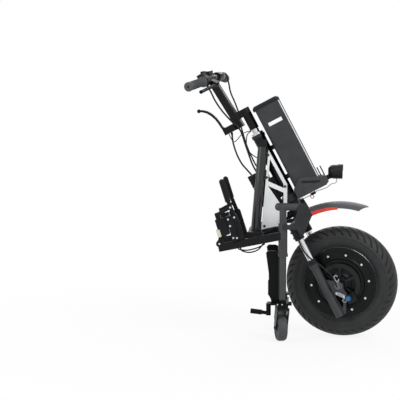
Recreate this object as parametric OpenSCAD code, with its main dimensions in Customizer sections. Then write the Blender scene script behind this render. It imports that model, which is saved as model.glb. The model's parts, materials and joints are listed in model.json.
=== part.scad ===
// Clip-on front drive for a manual chair: a hub-motor wheel in a sprung fork, steered by a bar,
// on a frame with two docking clamps and two drop-down parking stands.
// +X is forward, +Z is up, the ground is Z = 0, and -Y is the rider's right.

/* [Steering] */
// Lean of the steering axis from upright, in degrees
rake = 27.6; // [25:0.1:30]
// Turn to the right in which the bar and the wheel are drawn, in degrees
steer_rest = 13; // [0:1:25]
// Distance of the steering axis behind the axle, at axle height
axis_back = 31; // [24:0.5:38]
// Diameter of the steerer tube
steerer_d = 28.6; // [25.4:0.1:31]
// Outer diameter of the head tube
head_d = 48; // [44:0.5:52]
// Lower end of the head tube, along the steering axis
head_low = 285; // [282:1:292]
// Upper end of the head tube, along the steering axis
head_top = 622; // [600:1:630]

/* [Wheel] */
// Outer diameter of the tyre
tyre_d = 431; // [420:1:440]
// Width of the tyre
tyre_w = 94; // [84:1:100]
// Wall of the tyre
tyre_wall = 9; // [6:0.5:11]
// Diameter of the bead seat of the tyre
bead_d = 258; // [250:1:264]
// Width over the tyre beads
bead_w = 61; // [56:1:66]
// Diameter of the hub covers
cover_d = 243; // [236:1:246]
// Number of screws in each hub cover
cover_screw_count = 10; // [6:1:14]
// Pitch diameter of the cover screws
cover_screw_pcd = 222; // [216:1:226]
// Diameter of the axle in its bearings
axle_d = 20; // [17:0.5:22]
// Diameter of the threaded ends of the axle
axle_end_d = 14; // [12:0.5:15]
// Outer diameter of the hub bearings
hub_bearing_d = 42; // [38:0.5:46]
// Diameter of the brake rotor
rotor_d = 160; // [150:1:166]

/* [Fork] */
// Distance of each fork leg from the middle
leg_y = 85; // [82:0.5:90]
// Distance of the fork legs behind the steering axis
leg_back = 20; // [16:0.5:26]
// Diameter of the sliding stanchions
stanchion_d = 26; // [24:0.5:28]
// Diameter of the lower legs
lower_d = 33; // [32:0.5:36]
// Travel of the fork
fork_travel = 40; // [20:1:42]

/* [Bar] */
// Overall width of the handlebar
bar_w = 540; // [500:2:620]
// Diameter of the handlebar tube
bar_d = 22.2; // [20:0.1:24]
// Back sweep of the grips, in degrees
bar_sweep = 12; // [5:1:18]
// Diameter of the grips
grip_d = 31; // [29:0.5:34]
// Length of the grips
grip_len = 118; // [100:1:130]
// Height of the handlebar above the head tube, along the steering axis
bar_rise = 281; // [260:1:300]
// Distance of the handlebar behind the steering axis
bar_back = 35; // [28:1:42]

/* [Battery] */
// Thickness of the battery across its rail
battery_t = 103; // [90:1:110]
// Width of the battery
battery_w = 112; // [100:1:118]
// Length of the battery
battery_len = 376; // [340:1:390]
// Gap between the head tube and the back of the battery
battery_gap = 9; // [8:0.5:14]

/* [Frame] */
// Distance of each upright tube from the middle
upright_y = 48; // [46:0.5:54]
// Diameter of the upright tubes
upright_d = 36; // [32:0.5:37]
// Thickness of the silver side panels
panel_t = 4; // [3:0.5:5]
// Distance of each docking arm from the middle
arm_y = 150; // [146:1:160]
// Width of the docking arms
arm_w = 30; // [26:1:34]
// Height of the docking arms
arm_h = 30; // [27:1:34]

/* [Docking clamps] */
// Diameter of the tube that the clamps grip
dock_tube_d = 28.6; // [25:0.1:32]
// Lean of the gripped tube, top to the rear, in degrees
dock_lean = 17.7; // [12:0.1:22]
// Height of the clamp jaws
jaw_h = 66; // [50:1:72]

/* [Stands] */
// Distance of the stands behind the axle
stand_back = 227; // [220:1:235]
// Diameter of the stand posts
post_d = 26; // [24:0.5:28]
// Diameter of the stand sleeves
sleeve_d = 34; // [32:0.5:36]
// Travel of each stand post
stand_travel = 80; // [40:1:84]
// Diameter of the caster wheels
caster_d = 100; // [90:1:104]
// Width of the caster wheels
caster_w = 34; // [28:1:36]
// Trail of the casters
caster_trail = 30; // [24:1:34]
// Turn of the casters as drawn, in degrees
caster_turn = 78; // [0:1:180]

/* [Hidden] */
$fn = 64;

// Running fit of pins and shafts
run_fit = 0.05;
// Room between pieces that pass each other
slip = 0.3;

// The origin on the ground, in the middle of the object
origin_x = -188.9;
origin_y = 12.96;

// Wheel
tyre_r = tyre_d / 2;
crown_r = tyre_w / 2;
ring_r = tyre_r - crown_r;
bead_r = bead_d / 2;
bead_z = bead_w / 2;
wheel_lean = asin(sin(rake) * sin(steer_rest));
axle_lead = axis_back * cos(rake);
axle_drop = axis_back * sin(rake);
// Height of the axle in the drawing, and of the ground under the tyre
axle_z = 214.5;
ground = axle_z - ring_r * cos(wheel_lean) - crown_r;
axis_z = axle_z - axle_lead * cos(steer_rest) * sin(rake) + axle_drop * cos(rake);
flange_r = bead_r + 8.5;
flange_out = bead_z + 5;
cover_r = cover_d / 2;
cover_seat = bead_z - 1.5;
cover_face = flange_out + 0.5;
boss_face = cover_face + 10;
bearing_w = 12;
bearing_in = boss_face - 4 - bearing_w;
rotor_y = boss_face + 9;
rotor_t = 2;

// Fork
stanchion_r = stanchion_d / 2;
lower_r = lower_d / 2;
lower_end = -122;
lower_top = 100;
seal_top = 120;
clamp_low = 207;
crown_low = 252;
crown_top = 272;
dropout_y = leg_y - 12;
dropout_t = 10;
mudguard_r = crown_top + axle_drop + 16;

// Steering head
steerer_r = steerer_d / 2;
head_r = head_d / 2;
stem_low = head_top + 38;
stem_top = stem_low + 88;
riser_low = stem_low + 30;
bar_r = bar_d / 2;
bar_up = head_top + bar_rise;
bar_straight = 60;
grip_r = grip_d / 2;
side_len = (bar_w / 2 - bar_straight) / cos(bar_sweep);

// Frame
upright_r = upright_d / 2;
head_joint = head_top - 37;
upright_head = [-axis_back - head_joint * sin(rake) - 3, axis_z + head_joint * cos(rake) - 1.5];
upright_foot = [-331, 412];
beam_w = 56;
beam_h = 32;
beam_x = upright_foot[0];
beam_top = upright_foot[1];
battery_x = head_r + battery_gap;
battery_low = 358;
battery_y = battery_w / 2;

// Arms: the middle of each arm's top edge at its two ends
arm_rear = [-470, 368];
arm_front = [-stand_back, 416];
arm_slope = atan2(arm_front[1] - arm_rear[1], arm_front[0] - arm_rear[0]);
arm_len = norm(arm_front - arm_rear);

// Docking clamps
dock_x = -433;
dock_z = 438;
dock_r = dock_tube_d / 2;
jaw_half_w = 22;
jaw_pivot = [-50, -56];
lever_pivot = [33, 22];

// Stands
post_r = post_d / 2;
sleeve_r = sleeve_d / 2;
sleeve_low = 322;
sleeve_top = 446;
post_low = ground + 148;
handle_z = 508;
plate_low = ground + 141;
caster_r = caster_d / 2;
swivel_low = ground + 128;

// Headset
cup_h = 12.7;

// Battery seat
tray_wall = 6;
rail_t = 4;
rail_half = 18;
rail_top = battery_low + battery_len - 44;
rail_posts = [440, 565];
cap_h = 17;

// Lamp
lamp_z = 635;
lamp_r = 26.5;
lens_t = 4;

// Panel and brace
panel_screws = [[-284, 700], [-289, 614], [-219, 580], [-297, 428]];
brace_head = [-190, 474];

// Small parts of the docking clamps
tail_half = 7;
jaw_pin_r = 4;
lever_half = 9;
lever_pin_r = 4;
lever_grip_r = 10.5;
lever_top = 162;
handle_x = 28;
link_y = 18.5;

// Small parts of the fork, hub and brake
stanchion_low = -50;
bore_low = -100;
axle_half = 108;
stator_r = 100;
stator_half = 22;
screw_turn = -15;
caliper_in = 48;
mudguard_front = 43;
mudguard_rear = 86;
mudguard_w = 94;
mudguard_tail = 29;

// Stem and controls
riser_foot = [-46, stem_low + 41];
riser_lean = 4.3;
riser_len = bar_up - riser_foot[1];
housing_out = side_len - grip_len - 2;
perch_out = housing_out - 37;
lever_x = 34;
lever_t = 9;
lever_tilt = 50;
stem_lever = [-99, stem_low + 43];
stem_lever_y = -20;

// Small parts of the stands
guard_y = arm_y + 17;
guard_t = 4;
swivel_r = 6;
caster_pin_r = 5;
step_z = ground + 106;

// Cord routes: points chosen by hand, X, Y, Z in millimetres before the origin is set
cable_d = 5;
lever_cable_route = [[-424.8, -1, 785.9], [-419, -5, 745], [-404, -10, 700], [-385, -14, 665], [-366, -16, 643],
    [-347.9, -16, 622.4]];
throttle_cable_route = [[-510.8, -122.6, 957.4], [-500, -113, 939], [-482, -84, 901], [-455, -62, 862],
    [-423, -46, 827], [-392, -40, 796], [-370, -32, 735], [-352, -18, 682], [-342, -9, 657], [-328.4, -8, 632.6]];
brake_cable_route = [[-479.4, -92.6, 973.4], [-470, -71.5, 980.5], [-461, -54, 1001], [-453, -33, 1009],
    [-444, -12, 1000], [-437, 4, 975], [-430, 14, 940], [-412, 20, 897], [-396, 34, 850], [-388, 42, 800],
    [-366, 30, 730], [-343, 16, 680], [-319.5, 12, 637.2]];
arm_cable_route = [[-386, -142, 353.5], [-378, -142, 341], [-350, -142, 336], [-320, -142, 346], [-300, -142, 369.3]];
motor_lead_route = [[-188.2, -102.4, 420.4], [-174.3, -102.4, 393.8], [-141, -104, 328], [-84, -108, 284],
    [-42, -112, 244], [-23.5, -114.8, 203.8]];

// Frames of reference

module home() {
    translate([-origin_x, -origin_y, -ground]) children();
}

// Local Z runs up the steering axis and local X forward; turn is to the right
module steering_axis(turn) {
    translate([-axis_back, 0, axis_z]) rotate([0, -rake, 0]) rotate([0, 0, -turn]) children();
}

module steered() {
    steering_axis(steer_rest) children();
}

module raked() {
    steering_axis(0) children();
}

// Local Z is the wheel's axle, towards the left
module wheel_axis() {
    steered() translate([axle_lead, 0, -axle_drop]) rotate([-90, 0, 0]) children();
}

module both_sides() {
    children();
    mirror([0, 1, 0]) children();
}

// side is 1 for the left and -1 for the right
module on_side(side) {
    if (side > 0) children();
    else mirror([0, 1, 0]) children();
}

// Shapes that repeat

// A round bar between two points
module rod(from, to, r) {
    way = to - from;
    translate(from) rotate([0, acos(way[2] / norm(way)), atan2(way[1], way[0])]) cylinder(r = r, h = norm(way));
}

// A plate with an X-Z outline, from y to y + t
module side_plate(outline, y, t) {
    translate([0, y + t, 0]) rotate([90, 0, 0]) linear_extrude(t) polygon(outline);
}

// A pin along Y that starts at y
module pin_y(x, y, z, r, length) {
    translate([x, y, z]) rotate([-90, 0, 0]) cylinder(r = r, h = length);
}

// A ring round Z
module ring(outer, inner, low, high) {
    translate([0, 0, low]) difference() {
        cylinder(r = outer, h = high - low);
        translate([0, 0, -1]) cylinder(r = inner, h = high - low + 2);
    }
}

// A rectangle with round corners, as straight lines and true arcs
module round_rect(w, h, r) {
    square([w - 2 * r, h], center = true);
    square([w, h - 2 * r], center = true);
    for (sx = [-1, 1], sy = [-1, 1]) translate([sx * (w / 2 - r), sy * (h / 2 - r)]) circle(r);
}

function unit(v) = v / norm(v);

// A point between b and c on the smooth curve through a, b, c and d
function curve_point(a, b, c, d, t) =
    0.5 * ((2 * b) + (c - a) * t + (2 * a - 5 * b + 4 * c - d) * t * t + (3 * b - a - 3 * c + d) * t * t * t);

function smooth_route(p, steps) = concat(
    [for (i = [0 : len(p) - 2]) for (k = [0 : steps - 1])
        curve_point(p[max(i - 1, 0)], p[i], p[i + 1], p[min(i + 2, len(p) - 1)], k / steps)],
    [p[len(p) - 1]]);

// A tube swept along a route
module cord(route, d, steps) {
    sides = 8;
    path = smooth_route(route, steps);
    last = len(path) - 1;
    skin = [for (i = [0 : last])
        let (t = unit(path[min(i + 1, last)] - path[max(i - 1, 0)]),
             u = unit(cross([0, 1, 0], t)),
             v = cross(t, u))
        for (k = [0 : sides - 1]) path[i] + d / 2 * (cos(360 * k / sides) * u + sin(360 * k / sides) * v)];
    walls = [for (i = [0 : last - 1], k = [0 : sides - 1])
        let (a = i * sides + k, b = i * sides + (k + 1) % sides)
        each [[a, a + sides, b + sides], [a, b + sides, b]]];
    first_cap = [for (k = [1 : sides - 2]) [0, k, k + 1]];
    last_cap = [for (k = [1 : sides - 2]) [last * sides, last * sides + k + 1, last * sides + k]];
    polyhedron(skin, concat(walls, first_cap, last_cap), convexity = 6);
}

// Frame

module bored_head() {
    difference() {
        children();
        raked() translate([0, 0, head_low - 60]) cylinder(r = head_r - 5, h = head_top - head_low + 120);
    }
}

module head_tube() {
    yoke_w = 34;
    yoke_h = 26;
    color("#1b1c1e") bored_head() {
        raked() translate([0, 0, head_low]) cylinder(r = head_r, h = head_top - head_low);
        raked() for (z = rail_posts) translate([0, 0, z]) rotate([0, 90, 0]) cylinder(r = 9, h = battery_x);
        translate([upright_head[0] - yoke_w / 2, -upright_y - upright_r, upright_head[1]])
            cube([yoke_w, 2 * (upright_y + upright_r), yoke_h]);
        pin_y(panel_screws[2][0], panel_t / 2 - upright_y, panel_screws[2][1], 8, 2 * upright_y - panel_t);
    }
}

// Cups with their bearings, one at each end of the head tube
module headset() {
    color("#3a3c3f") raked() {
        ring(head_r + 3, steerer_r + run_fit, head_top, head_top + cup_h);
        ring(head_r + 3, steerer_r + run_fit, head_low - cup_h, head_low);
    }
}

module upright_axis(r) {
    way = upright_head - upright_foot;
    low = upright_foot - way / 4;
    high = upright_head + way / 4;
    rod([low[0], upright_y, low[1]], [high[0], upright_y, high[1]], r);
}

// Tubes with welded tabs that the side panels are screwed to
module uprights() {
    color("#1b1c1e") both_sides() intersection() {
        difference() {
            union() {
                upright_axis(upright_r);
                for (i = [0, 1, 3]) {
                    p = panel_screws[i];
                    translate([p[0] - 24, upright_y - 12, p[1] - 9]) cube([33, 12 - panel_t / 2, 18]);
                }
            }
            upright_axis(upright_r - 3);
        }
        translate([-500, 0, beam_top]) cube([400, 200, upright_head[1] - beam_top]);
    }
}

module cross_beam() {
    inner = arm_y - arm_w / 2;
    color("#1b1c1e") difference() {
        union() {
            translate([beam_x, inner, beam_top - beam_h / 2]) rotate([90, 0, 0])
                linear_extrude(2 * inner) round_rect(beam_w, beam_h, 5);
            rod([beam_x, 0, beam_top - beam_h / 2], [brace_head[0], 0, brace_head[1]], 14);
        }
        raked() translate([0, 0, head_low - 60]) cylinder(r = head_r, h = head_top - head_low);
    }
}

module arm_axis() {
    translate([arm_rear[0], arm_y, arm_rear[1]]) rotate([0, -arm_slope, 0]) children();
}

module arm_bar() {
    arm_axis() translate([0, 0, -arm_h / 2]) rotate([90, 0, 90])
        linear_extrude(arm_len) round_rect(arm_w, arm_h, 5);
}

module dock_arms() {
    color("#1b1c1e") both_sides() difference() {
        union() {
            arm_bar();
            dock_axis() pin_y(jaw_pivot[0], 1 - arm_w / 2, jaw_pivot[1], 12.6, arm_w - 2);
        }
        translate([-stand_back, arm_y, 0]) cylinder(r = sleeve_r, h = 600);
        arm_axis() translate([-20, -tail_half - slip, -arm_h - 1]) cube([70, 2 * (tail_half + slip), arm_h + 30]);
        dock_axis() pin_y(jaw_pivot[0], -arm_w, jaw_pivot[1], jaw_pin_r + run_fit, 2 * arm_w);
    }
}

// Silver triangle with two cut-outs, in X and Z
module side_panels() {
    outline = [[-282.5, 719], [-211, 589], [-211, 466], [-241, 431], [-309.5, 414]];
    upper = [[-277, 684], [-225, 589], [-225, 574], [-284, 600]];
    lower = [[-285, 583], [-225, 556], [-225, 508], [-232, 506]];
    color("#d9dcde") both_sides() difference() {
        side_plate(outline, upright_y - panel_t / 2, panel_t);
        side_plate(upper, upright_y - panel_t, 2 * panel_t);
        side_plate(lower, upright_y - panel_t, 2 * panel_t);
        upright_axis(upright_r + slip);
    }
}

module frame_screws() {
    color("silver") both_sides()
        for (p = panel_screws) pin_y(p[0], upright_y + panel_t / 2, p[1], 5, 3);
}

module controller_box() {
    low = 345;
    high = 507;
    color("#17181a") raked() difference() {
        translate([-72, 0, low]) linear_extrude(high - low) round_rect(76, 54, 5);
        for (z = [low + 16 : 12 : high - 16]) translate([-112, -40, z]) cube([3.5, 80, 4]);
    }
    color("#17181a") raked() difference() {
        translate([-36, -14, low + 34]) cube([20, 28, 86]);
        translate([-72, 0, low]) linear_extrude(high - low) round_rect(76, 54, 5);
        cylinder(r = head_r, h = 700);
    }
}

module battery_tray() {
    side = battery_y + tray_wall;
    front = battery_x + battery_t;
    outline = [[head_r + 1, 345], [front + 9, 345], [front + 23, 353], [front + 23, 377], [67, 416], [52, 407],
        [head_r + 1, 380]];
    recess = [[66, 398], [128, 371], [56, 364]];
    color("#3b3d40") raked() difference() {
        union() {
            side_plate(outline, -side, 2 * side);
            translate([0, 0, 348]) cylinder(r = head_r + 6, h = 28);
            for (x = [front + 5, front + 18]) translate([x, -10, 370]) cube([4.5, 20, 48]);
        }
        translate([battery_x - slip, -battery_y - slip, battery_low])
            cube([battery_t + 2 * slip, battery_w + 2 * slip, 100]);
        for (y = [-side - 1, side - 3]) side_plate(recess, y, 4);
        translate([0, 0, 300]) cylinder(r = head_r, h = 200);
        for (z = rail_posts) translate([0, 0, z]) rotate([0, 90, 0]) cylinder(r = 9.5, h = battery_x + 1);
    }
}

module battery_rail() {
    color("#2a2b2d") raked()
        translate([battery_x, -rail_half, battery_low]) cube([rail_t, 2 * rail_half, rail_top - battery_low]);
}

// Local Z points forward
module lamp_axis() {
    translate([0, 0, lamp_z]) rotate([0, 90, 0]) children();
}

module headlamp_body() {
    front = battery_x + battery_t + 23;
    color("#26272a") difference() {
        union() {
            lamp_axis() rotate_extrude()
                polygon([[0, -54], [15, -54], [23, -46], [lamp_r, -38], [lamp_r + 1, 0], [0, 0]]);
            raked() translate([front, -8, 356]) cube([26, 16, 18]);
        }
        lamp_axis() translate([0, 0, -lens_t - 1]) cylinder(r = lamp_r - 2.5, h = 20);
    }
}

module headlamp_lens() {
    color("#dfe6ea") lamp_axis() translate([0, 0, -lens_t - 1]) cylinder(r = lamp_r - 2.5, h = lens_t);
}

module stand_sleeves() {
    color("#2c2d30") both_sides() translate([-stand_back, arm_y, 0]) {
        ring(sleeve_r, post_r + run_fit, sleeve_low + 12, sleeve_top);
        ring(sleeve_r + 2, post_r + run_fit, sleeve_low, sleeve_low + 12);
    }
}

module guard_plates() {
    outline = [[-169, 518], [-146, 525], [-118, 480], [-153, 398], [-187, 439]];
    color("#1b1c1e") both_sides() difference() {
        union() {
            side_plate(outline, guard_y, guard_t);
            translate([-stand_back, arm_y + 8, 424]) cube([60, guard_y + guard_t - arm_y - 8, 18]);
        }
        translate([-stand_back, arm_y, 300]) cylinder(r = sleeve_r, h = 300);
    }
}

// Local Z runs up the gripped tube, local X forward
module dock_axis() {
    translate([dock_x, arm_y, dock_z]) rotate([0, -dock_lean, 0]) children();
}

module dock_brackets() {
    cheek = lever_half + slip;
    foot = 78;
    color("#18191b") both_sides() difference() {
        dock_axis() difference() {
            union() {
                translate([1.5, -jaw_half_w, -foot]) cube([24, 2 * jaw_half_w, foot + jaw_h / 2]);
                for (y = [cheek, -cheek - 6]) {
                    translate([20, y, -foot]) cube([26, 6, foot + lever_pivot[1]]);
                    pin_y(lever_pivot[0], y, lever_pivot[1], 13, 6);
                }
            }
            translate([0, 0, -80]) cylinder(r = dock_r + 0.1, h = 200);
            translate([0, 0, -80]) cylinder(r = dock_r + 3.5, h = 80 - jaw_h / 2);
            pin_y(lever_pivot[0], -cheek, lever_pivot[1], 14, 2 * cheek);
            pin_y(lever_pivot[0], -40, lever_pivot[1], lever_pin_r + run_fit, 80);
            translate([20, -cheek, lever_pivot[1] - 1]) cube([30, 2 * cheek, 60]);
        }
        arm_axis() translate([-50, -100, -200]) cube([arm_len + 100, 200, 200]);
    }
}

module clamp_lever(side) {
    foot = [lever_pivot[0], lever_pivot[1]];
    color("#232427") on_side(side) dock_axis() {
        difference() {
            union() {
                pin_y(foot[0], -lever_half, foot[1], 11, 2 * lever_half);
                side_plate([[foot[0] - 8, foot[1]], [foot[0] + 8, foot[1]], [35, 92], [21, 92]], -6, 12);
                rod([28, 0, 84], [handle_x, 0, lever_top], lever_grip_r);
                translate([handle_x, 0, lever_top]) sphere(lever_grip_r);
            }
        }
        pin_y(foot[0], -lever_half - slip - 6, foot[1], lever_pin_r, 2 * (lever_half + slip + 6));
        pin_y(30, -link_y - 3, 62, 4, 2 * (link_y + 3));
        for (y = [link_y, -link_y - 3]) {
            side_plate([[34, 56], [34, 68], [-24, 57], [-24, 45]], y, 3);
            pin_y(-24, y, 51, 6, 3);
        }
    }
}

module clamp_jaw(side) {
    color("#18191b") on_side(side) dock_axis() {
        difference() {
            union() {
                translate([-40, -17, -jaw_h / 2]) cube([38.5, 34, jaw_h]);
                translate([-34, -17, jaw_h / 2]) cube([18, 34, 24]);
                side_plate([[-40, -20], [-24, -20], [-24, -34], [-44, -64], [-58, -56]], -tail_half, 2 * tail_half);
                pin_y(jaw_pivot[0], -tail_half, jaw_pivot[1], 10, 2 * tail_half);
            }
            translate([0, 0, -80]) cylinder(r = dock_r + 0.1, h = 200);
        }
        pin_y(jaw_pivot[0], -arm_w / 2, jaw_pivot[1], jaw_pin_r, arm_w);
        pin_y(-24, -link_y + slip, 51, 4, 2 * (link_y - slip));
    }
}

module arm_cable() {
    color("#9a9c9e") cord(arm_cable_route, cable_d, 3);
}

// Steering

module steerer() {
    color("silver") steered() {
        ring(steerer_r, steerer_r - 3, crown_top, stem_top);
        ring(head_r, steerer_r, head_top + cup_h + slip, head_top + cup_h + 8);
    }
}

// Local Z runs up the riser, local X forward
module riser_axis() {
    translate([riser_foot[0], 0, riser_foot[1]]) rotate([0, -riser_lean, 0]) children();
}

module riser_bar() {
    riser_axis() translate([0, 0, -12]) linear_extrude(riser_len - 4) round_rect(30, 40, 6);
}

module stem_clamp() {
    color("#1b1c1e") steered() difference() {
        union() {
            translate([0, 0, stem_low]) cylinder(r = steerer_r + 4, h = stem_top - stem_low);
            translate([-44, -16, stem_top - 28]) cube([34, 32, 28]);
        }
        translate([0, 0, stem_low - 1]) cylinder(r = steerer_r, h = stem_top - stem_low + 2);
        translate([-40, -1.5, stem_low - 1]) cube([40, 3, riser_low - stem_low - 3]);
        riser_bar();
    }
}

module stem_riser() {
    reach = riser_foot[0] - riser_len * tan(riser_lean);
    color("#17181a") steered() difference() {
        union() {
            riser_bar();
            translate([reach - 12, -17, bar_up - 17]) cube([-bar_back - reach + 12, 34, 34]);
            translate([-bar_back, 0, bar_up]) rotate([-90, 0, 0]) translate([0, 0, -23]) cylinder(r = 19, h = 46);
        }
        translate([-bar_back, 0, bar_up]) rotate([-90, 0, 0]) translate([0, 0, -40]) cylinder(r = bar_r, h = 80);
    }
}

// Local Z runs out along one half of the bar, local X forward, local Y down
module bar_side(side) {
    steered() on_side(side) translate([-bar_back, bar_straight, bar_up]) rotate([0, 0, bar_sweep])
        rotate([-90, 0, 0]) children();
}

module handlebar() {
    color("#1d1e20") {
        steered() translate([-bar_back, -bar_straight, bar_up]) rotate([-90, 0, 0])
            cylinder(r = bar_r, h = 2 * bar_straight);
        for (side = [-1, 1]) bar_side(side) {
            sphere(bar_r);
            cylinder(r = bar_r, h = side_len);
        }
    }
}

module grip_shape(bore) {
    start = side_len - grip_len;
    rotate_extrude() polygon([[bore, start], [grip_r + 4, start], [grip_r + 4, start + 5], [grip_r, start + 8],
        [grip_r, side_len - 4], [grip_r + 2, side_len - 2], [grip_r + 2, side_len + 3], [grip_r - 2, side_len + 5],
        [4, side_len + 5], [4, side_len + slip], [bore, side_len + slip]]);
}

module left_grip() {
    color("#2b2c2e") bar_side(1) grip_shape(bar_r);
}

module throttle_grip() {
    color("#2b2c2e") bar_side(-1) grip_shape(bar_r + run_fit);
}

module throttle_housing() {
    color("#1f2022") bar_side(-1) {
        ring(grip_r + 6, bar_r, housing_out - 26, housing_out);
        translate([0, -24, housing_out - 26]) difference() {
            translate([-14, -6, 0]) cube([28, 22, 26]);
            translate([0, 24, -1]) cylinder(r = grip_r, h = 40);
        }
    }
}

module display_unit() {
    color("#1a1b1d") bar_side(-1) translate([0, 0, perch_out - 36.5]) {
        ring(bar_r + 5, bar_r, 0, 16);
        difference() {
            translate([-2, -27, -6]) rotate([0, 0, 25]) translate([-19, -7, 0]) cube([38, 14, 30]);
            translate([0, 0, -20]) cylinder(r = bar_r + 3, h = 80);
        }
        translate([-6, -24, 2]) cube([12, 11, 12]);
    }
}

module lever_axis() {
    bar_side(-1) rotate([0, 0, lever_tilt]) translate([0, 0, perch_out]) children();
}

module lever_perch() {
    color("#1d1e20") lever_axis() difference() {
        union() {
            ring(bar_r + 5, bar_r, -20, 0);
            translate([10, -9, -20]) cube([lever_x - 2, 18, 30]);
        }
        translate([0, 0, -50]) cylinder(r = bar_r, h = 100);
        translate([lever_x - 12, -lever_t / 2 - slip, -12]) cube([40, lever_t + 2 * slip, 40]);
        translate([lever_x, 0, 0]) rotate([90, 0, 0]) translate([0, 0, -20]) cylinder(r = 3 + run_fit, h = 40);
    }
}

module brake_lever() {
    tip = side_len - perch_out - 6;
    color("#2a2b2d") lever_axis() {
        translate([0, lever_t / 2, 0]) rotate([90, 0, 0]) linear_extrude(lever_t)
            polygon([[lever_x - 6, -8], [lever_x + 5, -8], [lever_x + 12, 20], [lever_x + 20, tip], [lever_x + 12, tip],
                [lever_x + 3, 24], [lever_x - 7, 8]]);
        translate([lever_x + 16, 0, tip]) sphere(7);
        translate([lever_x, 0, 0]) rotate([90, 0, 0]) translate([0, 0, -9]) cylinder(r = 3, h = 18);
    }
}

module stem_lever_perch() {
    color("#1d1e20") steered() difference() {
        translate([stem_lever[0] - 9, stem_lever_y - 11, stem_lever[1] - 14]) cube([48, 22, 27]);
        translate([stem_lever[0] - 10, stem_lever_y - lever_t / 2 - slip, stem_lever[1] - 11])
            cube([22, lever_t + 2 * slip, 40]);
        pin_y(stem_lever[0], stem_lever_y - 20, stem_lever[1], 3 + run_fit, 40);
        riser_bar();
    }
}

module stem_brake_lever() {
    x = stem_lever[0];
    z = stem_lever[1];
    color("#2a2b2d") steered() {
        side_plate([[x - 6, z - 8], [x + 5, z - 8], [x + 7, z + 7], [x - 4, z + 20], [x - 6, z + 42], [x - 10, z + 62],
            [x - 18, z + 84], [x - 31, z + 103], [x - 46, z + 115], [x - 58, z + 120], [x - 60, z + 113],
            [x - 50, z + 107], [x - 37, z + 96], [x - 26, z + 79], [x - 18, z + 60], [x - 14, z + 40], [x - 12, z + 20],
            [x - 10, z + 6]], stem_lever_y - lever_t / 2, lever_t);
        translate([x - 61, stem_lever_y, z + 117]) rotate([0, 0, 180]) sphere(7.5);
        pin_y(x, stem_lever_y - 11, z, 3, 22);
    }
}

module fork_crown() {
    color("#17181a") steered() difference() {
        union() {
            for (side = [-1, 1]) translate([-leg_back, side * leg_y, clamp_low])
                cylinder(r = stanchion_r + 6, h = crown_top - clamp_low);
            translate([0, 0, crown_low]) linear_extrude(crown_top - crown_low) {
                circle(head_r + 3);
                polygon([[-leg_back - 21, -leg_y], [-leg_back - 21, leg_y], [-leg_back + 21, leg_y], [27, 20],
                    [27, -20], [-leg_back + 21, -leg_y]]);
            }
        }
        for (side = [-1, 1]) translate([-leg_back, side * leg_y, clamp_low - 1])
            cylinder(r = stanchion_r, h = crown_top - clamp_low - 3);
    }
}

module stanchions() {
    color("#d4d7da") steered() for (side = [-1, 1]) translate([-leg_back, side * leg_y, 0])
        ring(stanchion_r, stanchion_r - 3, stanchion_low, crown_top - 4);
}

// Arched sheet over the tyre on a foot that stands on the fork crown
module mudguard() {
    color("#5a5c60") {
        wheel_axis() difference() {
            rotate([0, 0, -mudguard_rear]) rotate_extrude(angle = mudguard_rear - mudguard_front) mudguard_section();
            for (side = [0, 1]) mirror([0, 0, side]) rotate([0, 0, -mudguard_front]) rotate([mudguard_tail, 0, 0])
                translate([mudguard_r - 60, 0, 0]) cube([90, 60, 90]);
        }
        steered() difference() {
            translate([18, -16, crown_top]) cube([46, 32, mudguard_r - axle_drop - crown_top + 16]);
            ring(head_r + 6, 0, crown_top - 1, crown_top + 40);
            translate([axle_lead, 40, -axle_drop]) rotate([90, 0, 0])
                ring(mudguard_r + 40, mudguard_r + 6, 0, 80);
        }
    }
}

module mudguard_section() {
    translate([mudguard_r - 70, 0]) intersection() {
        difference() {
            circle(78);
            circle(75);
        }
        translate([0, -mudguard_w / 2]) square([100, mudguard_w]);
    }
}

module control_cables() {
    color("#101112") {
        cord(lever_cable_route, cable_d, 2);
        cord(throttle_cable_route, cable_d, 2);
        cord(brake_cable_route, cable_d, 2);
    }
}

// Fork lowers

module leg_frame(side) {
    steered() translate([-leg_back, side * leg_y, 0]) children();
}

module lower_legs() {
    color("#2c2e31") for (side = [-1, 1]) difference() {
        union() {
            leg_frame(side) {
                translate([0, 0, lower_end]) cylinder(r = lower_r, h = lower_top - lower_end);
                translate([0, 0, lower_top - 14]) cylinder(r = lower_r + 2, h = 14);
            }
            steered() side_plate([[-leg_back + 8, 30], [axle_lead - 6, -axle_drop + 22], [axle_lead + 20, -axle_drop],
                [axle_lead + 12, -axle_drop - 20], [42, -66], [30, -76], [4, lower_end], [-leg_back, lower_end],
                [-leg_back, 30]], side * (dropout_y + dropout_t / 2) - dropout_t / 2, dropout_t);
        }
        leg_frame(side) translate([0, 0, bore_low]) cylinder(r = stanchion_r + run_fit, h = 400);
        steered() pin_y(axle_lead, -200, -axle_drop, axle_end_d / 2, 400);
        steered() side_plate([[0, -40], [20, -44], [28, -64], [2, -100], [-2, -60]], -200, 400);
    }
}

module fork_seals() {
    color("#0f1011") for (side = [-1, 1]) leg_frame(side) translate([0, 0, lower_top]) rotate_extrude()
        polygon([[stanchion_r + run_fit, 0], [lower_r + 2, 0], [lower_r + 1, 10], [stanchion_r + 3, seal_top - lower_top],
            [stanchion_r + run_fit, seal_top - lower_top]]);
}

module axle() {
    color("#8d9094") wheel_axis() {
        translate([0, 0, -dropout_y]) cylinder(r = axle_d / 2, h = 2 * dropout_y);
        translate([0, 0, -axle_half]) cylinder(r = axle_end_d / 2, h = 2 * axle_half);
    }
}

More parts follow.
